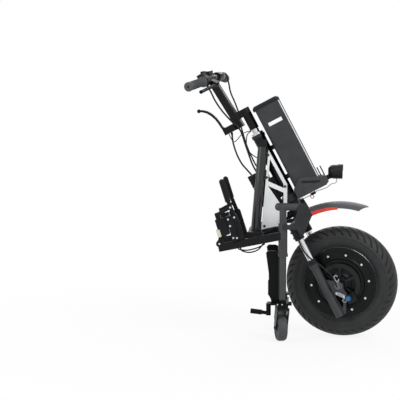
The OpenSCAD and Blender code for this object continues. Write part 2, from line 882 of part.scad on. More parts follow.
module axle_nuts() {
    face = dropout_y + dropout_t;
    color("#77797c") wheel_axis() for (side = [-1, 1]) mirror([0, 0, side > 0 ? 0 : 1]) difference() {
        union() {
            translate([0, 0, face]) cylinder(r = 15, h = 3);
            translate([0, 0, face + 3]) cylinder(r = 12.5, h = 11, $fn = 6);
        }
        translate([0, 0, face - 1]) cylinder(r = axle_end_d / 2, h = 40);
    }
}

module stator() {
    color("#a5652f") wheel_axis() ring(stator_r, axle_d / 2, -stator_half, stator_half);
}

module brake_caliper() {
    color("#55585c") steered() translate([axle_lead, 0, -axle_drop]) difference() {
        union() {
            translate([2, -dropout_y, -84]) cube([34, dropout_y - caliper_in, 36]);
            pin_y(15, -dropout_y - dropout_t - 8, -58, 13, 18);
        }
        pin_y(0, -rotor_y - rotor_t / 2 - 0.8, 0, rotor_d / 2 + 2, rotor_t + 1.6);
        side_plate([[-60, 60], [60, 60], [60, -48], [-60, -48]], -dropout_y - 0.01, dropout_y - caliper_in + 1);
        translate([-axle_lead, 0, axle_drop]) side_plate([[-leg_back - 20, lower_end - 20], [60, lower_end - 20],
            [60, 60], [-leg_back - 20, 60]], -dropout_y - dropout_t, dropout_t);
    }
}

module caliper_cap() {
    color("#4a7fb5") steered() translate([axle_lead, 0, -axle_drop])
        pin_y(15, -dropout_y - dropout_t - 18, -58, 9, 10);
}

module motor_lead() {
    color("#101112") cord(motor_lead_route, 6, 2);
}

// Wheel

module tyre_section() {
    hip_drop = 18;
    hip_z = sqrt(crown_r * crown_r - hip_drop * hip_drop);
    hip_r = ring_r - hip_drop;
    difference() {
        union() {
            translate([ring_r, 0]) circle(crown_r);
            polygon([[bead_r, -bead_z], [bead_r + 10, -bead_z], [hip_r, -hip_z], [hip_r, hip_z],
                [bead_r + 10, bead_z], [bead_r, bead_z]]);
        }
        translate([ring_r, 0]) circle(crown_r - tyre_wall);
        translate([0, -tyre_w]) square([bead_r, 2 * tyre_w]);
        polygon([[bead_r - 1, -bead_z + 11], [hip_r, -hip_z + tyre_wall], [hip_r, hip_z - tyre_wall],
            [bead_r - 1, bead_z - 11]]);
        for (z = [-13, 13]) translate([tyre_r - 5.5, z - 1.5]) square([8, 3]);
        for (side = [0, 1]) mirror([0, side]) translate([bead_r - 2, bead_z]) square([flange_r + 3.5 - bead_r, 40]);
    }
}

module tyre() {
    color("#232426") wheel_axis() rotate_extrude() tyre_section();
}

module wheel_rim() {
    seat = bead_r - slip;
    wall = bead_z + slip;
    shell = cover_r - 10;
    half = [[seat, wall], [flange_r, wall], [flange_r + 1, wall + 2], [flange_r, flange_out],
        [cover_r + slip, flange_out], [cover_r + slip, cover_seat], [shell, cover_seat]];
    far_half = [for (i = [len(half) - 1 : -1 : 0]) [half[i][0], -half[i][1]]];
    well = [[seat, -bead_z + 9], [seat - 5, -bead_z + 13], [seat - 5, bead_z - 13], [seat, bead_z - 9]];
    color("#151618") wheel_axis() rotate_extrude() polygon(concat(half, far_half, well));
}

module hub_covers() {
    bore = hub_bearing_d / 2;
    color("#131416") wheel_axis() for (side = [0, 1]) mirror([0, 0, side]) rotate_extrude()
        polygon([[cover_r, cover_seat], [cover_r, cover_face], [cover_r - 18, cover_face], [cover_r - 21, cover_face + 3],
            [cover_r - 26, cover_face + 3], [cover_r - 30, cover_face + 1], [46, cover_face + 4], [36, boss_face],
            [axle_d / 2 + 2, boss_face], [axle_d / 2 + 2, bearing_in + bearing_w], [bore, bearing_in + bearing_w],
            [bore, cover_seat - 3], [60, cover_seat]]);
}

module cover_screws() {
    color("#c9ccd0") wheel_axis() for (side = [0, 1]) mirror([0, 0, side])
        for (i = [0 : cover_screw_count - 1]) rotate([0, 0, screw_turn + i * 360 / cover_screw_count])
            translate([cover_screw_pcd / 2, 0, cover_face]) cylinder(r = 4.2, h = 3.4);
}

module magnet_ring() {
    color("#6c6f73") wheel_axis() ring(cover_r - 10, stator_r + 1, -stator_half - 2, stator_half + 2);
}

module hub_bearings() {
    color("silver") wheel_axis() for (side = [0, 1]) mirror([0, 0, side])
        ring(hub_bearing_d / 2, axle_d / 2 + run_fit, bearing_in, bearing_in + bearing_w);
}

module brake_rotor() {
    color("#8f9296") wheel_axis() translate([0, 0, -rotor_y]) {
        ring(rotor_d / 2, rotor_d / 2 - 17, -rotor_t / 2, rotor_t / 2);
        difference() {
            for (i = [0 : 5]) rotate([0, 0, i * 60]) translate([20, -5, -rotor_t / 2])
                cube([rotor_d / 2 - 17 - 20 + 2, 10, rotor_t]);
        }
        ring(30, axle_d / 2 + 3, -rotor_t / 2, rotor_y - boss_face);
    }
}

// Battery

module battery_case() {
    color("#46484b") raked() difference() {
        translate([battery_x + battery_t / 2, 0, battery_low + slip])
            linear_extrude(battery_len - cap_h - slip) round_rect(battery_t, battery_w, 12);
        translate([battery_x - 1, -rail_half - slip, battery_low - 1])
            cube([rail_t + 1 + slip, 2 * (rail_half + slip), battery_len]);
    }
}

module battery_cap() {
    base = battery_low + battery_len - cap_h;
    color("#2e3032") raked() translate([battery_x + battery_t / 2 - 3, 0, base]) hull() {
        linear_extrude(cap_h * 0.55, $fn = 32) round_rect(battery_t + 8, battery_w + 2, 13);
        linear_extrude(cap_h, $fn = 32) round_rect(battery_t - 8, battery_w - 14, 12);
    }
}

// Stands

// The right stand has a foot bar
module stand(side) {
    rail_in = arm_y - arm_w / 2 - 4;
    color("#232427") on_side(side) translate([-stand_back, arm_y, 0]) {
        difference() {
            union() {
                translate([0, 0, post_low]) cylinder(r = post_r, h = handle_z - post_low);
                translate([-58, -34, plate_low]) cube([92, 56, post_low - plate_low]);
                translate([0, 0, swivel_low]) cylinder(r = 20, h = plate_low - swivel_low);
            }
            translate([0, 0, swivel_low - 1]) cylinder(r = swivel_r + run_fit, h = 17);
        }
        translate([-16, 0, handle_z]) rotate([0, 90, 0]) cylinder(r = 14.5, h = 88);
        translate([-16, 0, handle_z]) sphere(14.5);
        side_plate([[-42, post_low], [-4, post_low], [-4, 330], [-28, 341], [-56, 341], [-63, 333], [-50, 238],
            [-55, 228], [-55, 178], [-46, 162]], rail_in - arm_y - 12, 12);
        if (side < 0) {
            rod([-53, -20, plate_low + 3], [-53, -20, step_z - 8], 9);
            rod([-53, -20, step_z], [-84, -20, step_z + 4], 7);
            rod([-78, -20, step_z + 3], [-121, -20, step_z + 8], 9.5);
        }
    }
}

module caster_axis(side) {
    on_side(side) translate([-stand_back, arm_y, 0]) rotate([0, 0, caster_turn]) children();
}

module caster_fork(side) {
    top = swivel_low - slip;
    inner = caster_w / 2 + 2.5;
    hub = ground + caster_r;
    color("#26272a") caster_axis(side) {
        translate([0, 0, top - 9]) cylinder(r = 22, h = 9);
        translate([0, 0, top - 4]) cylinder(r = swivel_r, h = 18);
        for (y = [-inner - 4, inner]) side_plate([[-20, top - 9], [-20, top], [14, top], [14, top - 9],
            [-caster_trail + 12, hub - 6], [-caster_trail, hub - 12], [-caster_trail - 12, hub - 6],
            [-caster_trail - 14, hub + 12]], y, 4);
        pin_y(-caster_trail, -inner - 7, hub, caster_pin_r, 2 * (inner + 7));
    }
}

module caster_wheel(side) {
    half = caster_w / 2;
    color("#6d7073") caster_axis(side) translate([-caster_trail, 0, ground + caster_r]) rotate([-90, 0, 0])
        rotate_extrude()
        polygon([[caster_pin_r + run_fit, -half - 2], [12, -half - 2], [14, -half + 3], [caster_r - 14, -half + 3],
            [caster_r - 12, -half], [caster_r - 5, -half], [caster_r - 1.5, -half + 4], [caster_r, -half + 9],
            [caster_r, half - 9], [caster_r - 1.5, half - 4], [caster_r - 5, half], [caster_r - 12, half],
            [caster_r - 14, half - 3], [14, half - 3], [12, half + 2], [caster_pin_r + run_fit, half + 2]]);
}

home() head_tube();
home() headset();
home() uprights();
home() cross_beam();
home() dock_arms();
home() side_panels();
home() frame_screws();
home() controller_box();
home() battery_tray();
home() battery_rail();
home() headlamp_body();
home() headlamp_lens();
home() stand_sleeves();
home() guard_plates();
home() dock_brackets();
home() arm_cable();
home() steerer();
home() stem_clamp();
home() stem_riser();
home() handlebar();
home() left_grip();
home() throttle_housing();
home() display_unit();
home() lever_perch();
home() stem_lever_perch();
home() fork_crown();
home() stanchions();
home() mudguard();
home() control_cables();
home() lower_legs();
home() fork_seals();
home() axle();
home() axle_nuts();
home() stator();
home() brake_caliper();
home() caliper_cap();
home() motor_lead();
home() tyre();
home() wheel_rim();
home() hub_covers();
home() cover_screws();
home() magnet_ring();
home() hub_bearings();
home() brake_rotor();
home() throttle_grip();
home() brake_lever();
home() stem_brake_lever();
home() battery_case();
home() battery_cap();
home() stand(-1);  // right_stand
home() stand(1);  // left_stand
home() caster_fork(-1);  // right_caster_fork
home() caster_fork(1);  // left_caster_fork
home() caster_wheel(-1);  // right_caster_wheel
home() caster_wheel(1);  // left_caster_wheel
home() clamp_lever(-1);  // right_clamp_lever
home() clamp_lever(1);  // left_clamp_lever
home() clamp_jaw(-1);  // right_clamp_jaw
home() clamp_jaw(1);  // left_clamp_jaw
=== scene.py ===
"""Looks of a clip-on front drive.

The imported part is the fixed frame. This script gives each of its solids a finish and adds what the
solids leave out: smooth cords, the tyre's tread, bolts, welds, ribs, pads and trim.
Local frames take millimetres, as the part's source does, and the row frame is in metres.
"""

from __future__ import annotations

import json
import logging
import math
from collections.abc import Sequence
from dataclasses import dataclass
from dataclasses import field
from enum import Enum

import bmesh
import bpy
from mathutils import Matrix
from mathutils import Vector


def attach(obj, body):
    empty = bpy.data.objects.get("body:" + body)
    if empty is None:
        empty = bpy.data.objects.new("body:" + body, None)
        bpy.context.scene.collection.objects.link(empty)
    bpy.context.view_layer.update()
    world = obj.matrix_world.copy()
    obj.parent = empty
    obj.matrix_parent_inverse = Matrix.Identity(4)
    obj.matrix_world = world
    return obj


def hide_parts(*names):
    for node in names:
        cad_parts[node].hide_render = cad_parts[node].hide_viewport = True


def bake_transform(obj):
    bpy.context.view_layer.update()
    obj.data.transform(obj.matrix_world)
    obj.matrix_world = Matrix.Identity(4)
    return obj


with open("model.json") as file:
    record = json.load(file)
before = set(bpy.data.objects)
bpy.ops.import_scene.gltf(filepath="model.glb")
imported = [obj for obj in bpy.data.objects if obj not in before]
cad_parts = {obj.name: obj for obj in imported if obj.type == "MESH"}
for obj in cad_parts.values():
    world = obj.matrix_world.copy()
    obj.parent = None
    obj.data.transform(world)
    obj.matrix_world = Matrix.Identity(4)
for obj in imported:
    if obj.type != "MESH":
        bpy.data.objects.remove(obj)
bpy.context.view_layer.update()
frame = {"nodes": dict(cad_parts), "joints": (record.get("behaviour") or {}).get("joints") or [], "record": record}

log = logging.getLogger("front_drive")

Spot = tuple[float, float]
Point = tuple[float, float, float]
Profile = Sequence[Spot]
Socket = bpy.types.NodeSocket

MM = 0.001
WHITE = (1.0, 1.0, 1.0, 1.0)

# The ground under the middle of the object, in the frame of the wheel's axle
HOME_SHIFT = (188.9, -12.96, 0.08)
STEER_REST = 13.0
RIGHT = -1
LEFT = 1
SIDES = ((RIGHT, "right"), (LEFT, "left"))

# The left docking clamp's middle and its lean, in the frame of the wheel's axle
DOCK_PLACE = (-433, 150, 438)
DOCK_LEAN = 17.7

# Where the left half of the bar starts to sweep back, in the steered frame
BAR_BEND = (-35, 60, 903)
BAR_SWEEP = 12.0

# What all finishes share: bands of noise for drift and flecks, a fleck's width and the swing of gloss
DRIFT_BAND = (0.3, 0.7)
FLECK_BAND = (0.66, 0.74)
FLECK_SIZE = 0.004
GLOSS_SWING = 0.08
GLOSS_LEAST = 0.03


class Grain(Enum):
    """How the fine relief of a finish is stretched along X, Y and Z."""

    EVEN = (1.0, 1.0, 1.0)
    BRUSHED = (1.0, 1.0, 0.04)
    RUNNING = (0.15, 1.0, 0.15)


def linear(hex_colour: str) -> tuple[float, float, float, float]:
    """Turns a written colour into the renderer's linear values.

    Args:
        hex_colour: Six hexadecimal digits after a hash.

    Returns:
        Red, green, blue and an alpha of 1.
    """
    parts = [int(hex_colour[i : i + 2], 16) / 255 for i in (1, 3, 5)]
    red, green, blue = [c / 12.92 if c <= 0.04045 else ((c + 0.055) / 1.055) ** 2.4 for c in parts]
    return red, green, blue, 1.0


class NodeWriter:
    """Adds nodes to a tree, and sets or links their inputs by name or number."""

    def __init__(self, tree: bpy.types.NodeTree) -> None:
        """Takes the tree to write in."""
        self.tree = tree

    def fill(self, node: bpy.types.Node, inputs: dict) -> None:
        """Gives a node its inputs.

        Args:
            node: The node.
            inputs: Values or sockets by input name or number.
        """
        for key, value in inputs.items():
            if isinstance(value, Socket):
                self.tree.links.new(value, node.inputs[key])
            else:
                node.inputs[key].default_value = value

    def node(self, kind: str, inputs: dict | None = None, **settings: object) -> bpy.types.Node:
        """Adds a node.

        Args:
            kind: Its type.
            inputs: Values or sockets by input name or number.
            settings: Its properties.

        Returns:
            The node.
        """
        made = self.tree.nodes.new(kind)
        for key, value in settings.items():
            setattr(made, key, value)
        self.fill(made, inputs or {})
        return made

    def math(self, operation: str, *values: object) -> Socket:
        """Adds a Math node and returns its value."""
        return self.node("ShaderNodeMath", dict(enumerate(values)), operation=operation).outputs[0]

    def laid_over(self, share: Socket, below: Socket, colour: str) -> Socket:
        """Lays a written colour over another one by a share and returns the mix."""
        mix = self.node("ShaderNodeMix", {0: share, 6: below, 7: linear(colour)}, data_type="RGBA")
        return mix.outputs[2]


class SurfaceWriter(NodeWriter):
    """Writes a material's tree in the object's own coordinates."""

    def __init__(self, tree: bpy.types.NodeTree) -> None:
        """Takes the tree and adds the coordinates."""
        super().__init__(tree)
        self.place = self.node("ShaderNodeTexCoord").outputs["Object"]

    def noise(self, place: Socket, size: float, detail: float) -> Socket:
        """Adds a noise whose features are about size metres wide.

        Args:
            place: The coordinates to read.
            size: Width of a feature in metres.
            detail: Octaves of finer noise.

        Returns:
            The noise value's socket.
        """
        inputs = {"Vector": place, "Scale": 1.0 / size, "Detail": detail}
        return self.node("ShaderNodeTexNoise", inputs).outputs["Fac"]


@dataclass(frozen=True)
class Finish:
    """A surface: its colour and how it varies, its gloss and its relief.

    Lengths are in metres. The colour drifts from colour to drift over patches of mottle size, and
    flecks of the wear colour show through where wear is above 0.
    """

    name: str
    colour: str
    drift: str
    roughness: float
    metallic: float = 0.0
    specular: float = 0.2
    grain: Grain = Grain.EVEN
    grain_size: float = 0.0012
    relief: float = 0.12
    mottle: float = 0.05
    wear: float = 0.0
    wear_colour: str = "#6f7276"
    coat: float = 0.0
    transmission: float = 0.0

    def material(self) -> bpy.types.Material:
        """Builds the node material of this finish."""
        material = bpy.data.materials.new(self.name)
        material.use_nodes = True
        writer = SurfaceWriter(material.node_tree)
        stretch = writer.node("ShaderNodeMapping", {"Vector": writer.place, "Scale": self.grain.value})
        fine = writer.noise(stretch.outputs["Vector"], self.grain_size, 2.0)
        patches = writer.noise(writer.place, self.mottle, 4.0)
        tint, shine = self._zones(writer, self._tint(writer, patches))
        gloss = writer.node(
            "ShaderNodeMapRange",
            {
                "Value": patches,
                "To Min": max(GLOSS_LEAST, self.roughness - GLOSS_SWING),
                "To Max": min(1.0, self.roughness + GLOSS_SWING),
            },
        )
        bump = writer.node(
            "ShaderNodeBump",
            {"Strength": self.relief, "Distance": self.grain_size * 0.4, "Height": fine},
        )
        writer.fill(
            material.node_tree.nodes["Principled BSDF"],
            {
                "Base Color": tint,
                "Metallic": self.metallic,
                "Roughness": gloss.outputs["Result"],
                "Specular IOR Level": shine,
                "Coat Weight": self.coat,
                "Transmission Weight": self.transmission,
                "Normal": bump.outputs["Normal"],
            },
        )
        return material

    def _tint(self, writer: SurfaceWriter, patches: Socket) -> Socket:
        """Adds the drifting colour and the flecks of wear.

        Args:
            writer: Writer of the material's tree.
            patches: The noise that the colour drifts with.

        Returns:
            The colour's socket.
        """
        ramp = writer.node("ShaderNodeValToRGB", {"Fac": patches})
        stops = zip(ramp.color_ramp.elements, DRIFT_BAND, (self.colour, self.drift))
        for element, position, colour in stops:
            element.position = position
            element.color = linear(colour)
        tint = ramp.outputs["Color"]
        if self.wear > 0:
            flecks = writer.noise(writer.place, FLECK_SIZE, 6.0)
            low, high = FLECK_BAND
            mask = writer.node(
                "ShaderNodeMapRange",
                {"Value": flecks, "From Min": low, "From Max": high, "To Max": self.wear},
            )
            tint = writer.laid_over(mask.outputs["Result"], tint, self.wear_colour)
        return tint

    def _zones(self, writer: SurfaceWriter, tint: Socket) -> tuple[Socket, Socket | float]:
        """Changes colour and shine by place. A plain finish is one zone.

        Args:
            writer: Writer of the material's tree.
            tint: The colour of the whole surface.

        Returns:
            The colour's socket, and the specular level or its socket.
        """
        return tint, self.specular


@dataclass(frozen=True)
class StandFinish(Finish):
    """Paint of a stand: lighter on the post and handle, dark on the rail behind it and on the foot.

    Lengths are in metres in the row frame.
    """

    dark_colour: str = "#0b0c0d"
    dark_specular: float = 0.1
    rail_x: float = -0.0535
    rail_top: float = 0.42
    foot_top: float = 0.16

    def _zones(self, writer: SurfaceWriter, tint: Socket) -> tuple[Socket, Socket]:
        """Darkens the rail and the foot, and takes their shine down.

        Args:
            writer: Writer of the material's tree.
            tint: The colour of the post.

        Returns:
            The colour's socket and the specular level's socket.
        """
        split = writer.node("ShaderNodeSeparateXYZ", {"Vector": writer.place}).outputs
        behind = writer.math("LESS_THAN", split["X"], self.rail_x)
        below = writer.math("LESS_THAN", split["Z"], self.rail_top)
        foot = writer.math("LESS_THAN", split["Z"], self.foot_top)
        zone = writer.math("MAXIMUM", writer.math("MULTIPLY", behind, below), foot)
        shine = writer.node(
            "ShaderNodeMapRange", {"Value": zone, "To Min": self.specular, "To Max": self.dark_specular}
        )
        return writer.laid_over(zone, tint, self.dark_colour), shine.outputs["Result"]


SATIN_BLACK = Finish("satin_black", "#0f1011", "#151618", 0.38, wear=0.2)
BLACK_ALLOY = Finish(
    "black_alloy_coat", "#0e0f11", "#151618", 0.42, specular=0.14, wear=0.25, grain_size=0.0008
)
TUBE_BLACK = Finish("tube_black", "#101112", "#161719", 0.16, specular=0.55)
LEVER_BLACK = Finish("lever_black", "#0d0e0f", "#131415", 0.55, specular=0.08)
PLATE_BLACK = Finish("plate_black", "#222325", "#2b2c2e", 0.42, wear=0.2)
LEG_PAINT = Finish("leg_paint", "#28292b", "#313234", 0.36, specular=0.45, wear=0.15)
STAND_PAINT = StandFinish("stand_paint", "#28292b", "#313234", 0.32, specular=0.5, wear=0.15)
# Also used for the light tubes along the battery's front edges, which are painted highlights.
PANEL_SILVER = Finish("panel_silver", "#d3d6d8", "#e2e4e5", 0.36, metallic=0.25, grain=Grain.BRUSHED)
BRIGHT_STEEL = Finish(
    "bright_steel", "#c6c9cd", "#d9dcdf", 0.22, metallic=1.0, grain=Grain.BRUSHED, relief=0.05
)
BRUSHED_STEEL = Finish("brushed_steel", "#85888c", "#9a9da1", 0.3, metallic=1.0, grain=Grain.RUNNING)
CALIPER_GREY = Finish(
    "caliper_grey", "#5d6064", "#6e7175", 0.42, metallic=0.6, wear=0.3, wear_colour="#b9bcc0"
)
ANODISED_BLUE = Finish("anodised_blue", "#2f5f96", "#3d70a8", 0.32, metallic=0.5)
HUB_BLACK = Finish("hub_black", "#08090a", "#0e0f10", 0.26, specular=0.16, relief=0.06)
# Painted highlight: a light grey metallic for the rim's thin lips, so that the black rim shows a bright ring.
RIM_PAINTED_HIGHLIGHT = Finish("rim_painted_highlight", "#6c6e71", "#7a7c80", 0.14, metallic=0.9, relief=0.02)
ROTOR_DARK = Finish("rotor_dark", "#0f1011", "#17181a", 0.3, specular=0.24, grain=Grain.RUNNING)
CALIPER_DARK = Finish(
    "caliper_dark", "#1b1c1e", "#26282a", 0.42, metallic=0.2, wear=0.3, wear_colour="#8d9094"
)
COPPER = Finish("copper_windings", "#8f5427", "#b06c36", 0.35, metallic=0.9, grain=Grain.RUNNING, relief=0.4)
CASE_CHARCOAL = Finish("case_charcoal", "#303133", "#393a3c", 0.5, grain_size=0.0009, relief=0.2)
CONTROLLER_BLACK = Finish("controller_black", "#0e0f10", "#141516", 0.45, grain_size=0.0009)
TRAY_GREY = Finish("tray_grey", "#343638", "#3d3f41", 0.55, grain_size=0.001, relief=0.25)
TRIM_BLACK = Finish("trim_black", "#161719", "#1d1e20", 0.46, grain_size=0.0008, relief=0.2)
GUARD_GREY = Finish("guard_grey", "#46484b", "#525457", 0.5, grain_size=0.001, relief=0.2)
LAMP_GLASS = Finish("lamp_glass", "#dfe6ea", "#eef2f4", 0.12, transmission=0.5, relief=0.0)
GRIP_RUBBER = Finish("grip_rubber", "#454749", "#515355", 0.62, grain_size=0.0007, relief=0.35)
TYRE_RUBBER = Finish("tyre_rubber", "#222324", "#2a2b2c", 0.5, specular=0.28, relief=0.3, mottle=0.03)
CASTER_RUBBER = Finish("caster_rubber", "#434547", "#4f5153", 0.6, grain_size=0.001, relief=0.25)
CABLE_BLACK = Finish("cable_black", "#0f1011", "#171819", 0.4, grain_size=0.0006, relief=0.1)
CABLE_GREY = Finish("cable_grey", "#8f9193", "#a2a4a6", 0.45, grain_size=0.0006, relief=0.1)
WIRE_RED = Finish("wire_red", "#b83c2c", "#c94a38", 0.4, grain_size=0.0006)
STRIP_RED = Finish("strip_red", "#cf3f35", "#dc4d42", 0.35, grain_size=0.0008, relief=0.1)
PLATE_WHITE = Finish("plate_white", "#e6e8e8", "#f0f1f1", 0.4, relief=0.05)
TRIM_SILVER = Finish("trim_silver", "#9fa2a5", "#b2b5b8", 0.35, metallic=0.5, grain=Grain.BRUSHED)
PAD_CREAM = Finish("pad_cream", "#bfb9a8", "#d0cab9", 0.7, grain_size=0.0015, relief=0.4)
SCREEN_GLASS = Finish("screen_glass", "#0b0d10", "#12151a", 0.08, coat=0.6, relief=0.0)
BOLT_DARK = Finish("bolt_dark", "#2a2b2d", "#3a3b3e", 0.35, metallic=0.8, wear=0.3, wear_colour="#8e9195")

SLOT_FINISH = {
    "black_metal": SATIN_BLACK,
    "black_alloy": BLACK_ALLOY,
    "leg_metal": LEG_PAINT,
    "panel_metal": PANEL_SILVER,
    "bright_metal": BRIGHT_STEEL,
    "brake_steel": BRUSHED_STEEL,
    "brake_body": CALIPER_GREY,
    "brake_cap": ANODISED_BLUE,
    "hub_metal": HUB_BLACK,
    "stator_copper": COPPER,
    "case_plastic": CASE_CHARCOAL,
    "tray_plastic": TRAY_GREY,
    "trim_plastic": TRIM_BLACK,
    "guard_plastic": GUARD_GREY,
    "lens": LAMP_GLASS,
    "grip_rubber": GRIP_RUBBER,
    "tyre_rubber": TYRE_RUBBER,
    "caster_rubber": CASTER_RUBBER,
    "cable_sheath": CABLE_BLACK,
}

NODE_FINISH = {
    "controller_box": CONTROLLER_BLACK,
    "guard_plates": PLATE_BLACK,
    "uprights": TUBE_BLACK,
    "brake_lever": LEVER_BLACK,
    "brake_rotor": ROTOR_DARK,
    "brake_caliper": CALIPER_DARK,
    "battery_cap": TRIM_BLACK,
    "frame_screws": BOLT_DARK,
    "headset": BOLT_DARK,
    "steerer": BRIGHT_STEEL,
    "axle_nuts": CALIPER_GREY,
    "axle": CALIPER_GREY,
    "stand_sleeves": LEG_PAINT,
    "right_stand": STAND_PAINT,
    "left_stand": STAND_PAINT,
}


@dataclass(frozen=True)
class Station:
    """A local frame: millimetres in, the row frame's metres out."""

    matrix: Matrix

    @classmethod
    def on_axis(cls, origin: Vector, up: Vector, forward: Vector) -> Station:
        """Builds a frame from its Z axis and a rough X axis.

        Args:
            origin: Its origin in the row frame, in metres.
            up: Its Z axis.
            forward: A direction near its X axis.

        Returns:
            The frame, with X made square to Z.
        """
        z = up.normalized()
        y = z.cross(forward).normalized()
        x = y.cross(z)
        turn = Matrix((x, y, z)).transposed().to_4x4()
        return cls(Matrix.Translation(origin) @ turn @ Matrix.Scale(MM, 4))

    def moved(self, x: float, y: float, z: float) -> Station:
        """The same frame with its origin moved, in its own millimetres."""
        return Station(self.matrix @ Matrix.Translation((x, y, z)))

    def turned(self, degrees: float, axis: str) -> Station:
        """The same frame turned about one of its own axes."""
        return Station(self.matrix @ Matrix.Rotation(math.radians(degrees), 4, axis))

    def at(self, x: float, y: float, z: float) -> Vector:
        """A local point in the row frame."""
        return self.matrix @ Vector((x, y, z))

    def way(self, x: float, y: float, z: float) -> Vector:
        """A local direction in the row frame."""
        return (self.matrix.to_3x3() @ Vector((x, y, z))).normalized()


class Stations:
    """The part's local frames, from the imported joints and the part's own layout."""

    def __init__(self, joints: list[dict]) -> None:
        """Reads the steering and wheel axes from the joints.

        Args:
            joints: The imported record's joints.
        """
        by_name = {joint["name"]: joint for joint in joints}
        steering = by_name["steering"]
        spin = by_name["wheel_spin"]
        self.home = Station(Matrix.Translation(Vector(HOME_SHIFT) * MM) @ Matrix.Scale(MM, 4))
        self.raked = Station.on_axis(Vector(steering["pos_m"]), Vector(steering["axis"]), Vector((1, 0, 0)))
        self.steered = self.raked.turned(-STEER_REST, "Z")
        self.wheel = Station.on_axis(
            Vector(spin["pos_m"]), Vector(spin["axis"]), self.steered.way(1, 0, 0)
        )

    def dock(self, side: int) -> Station:
        """The frame of one docking clamp, with Z up the gripped tube and X forward."""
        x, y, z = DOCK_PLACE
        return self.home.moved(x, side * y, z).turned(-DOCK_LEAN, "Y")

    def bar(self, side: int) -> Station:
        """The frame of one half of the bar, with Z outward, X forward and Y up on the right half."""
        x, y, z = BAR_BEND
        sweep = math.radians(BAR_SWEEP)
        out = self.steered.way(-math.sin(sweep), side * math.cos(sweep), 0)
        ahead = self.steered.way(math.cos(sweep), side * math.sin(sweep), 0)
        return Station.on_axis(self.steered.at(x, side * y, z), out, ahead)


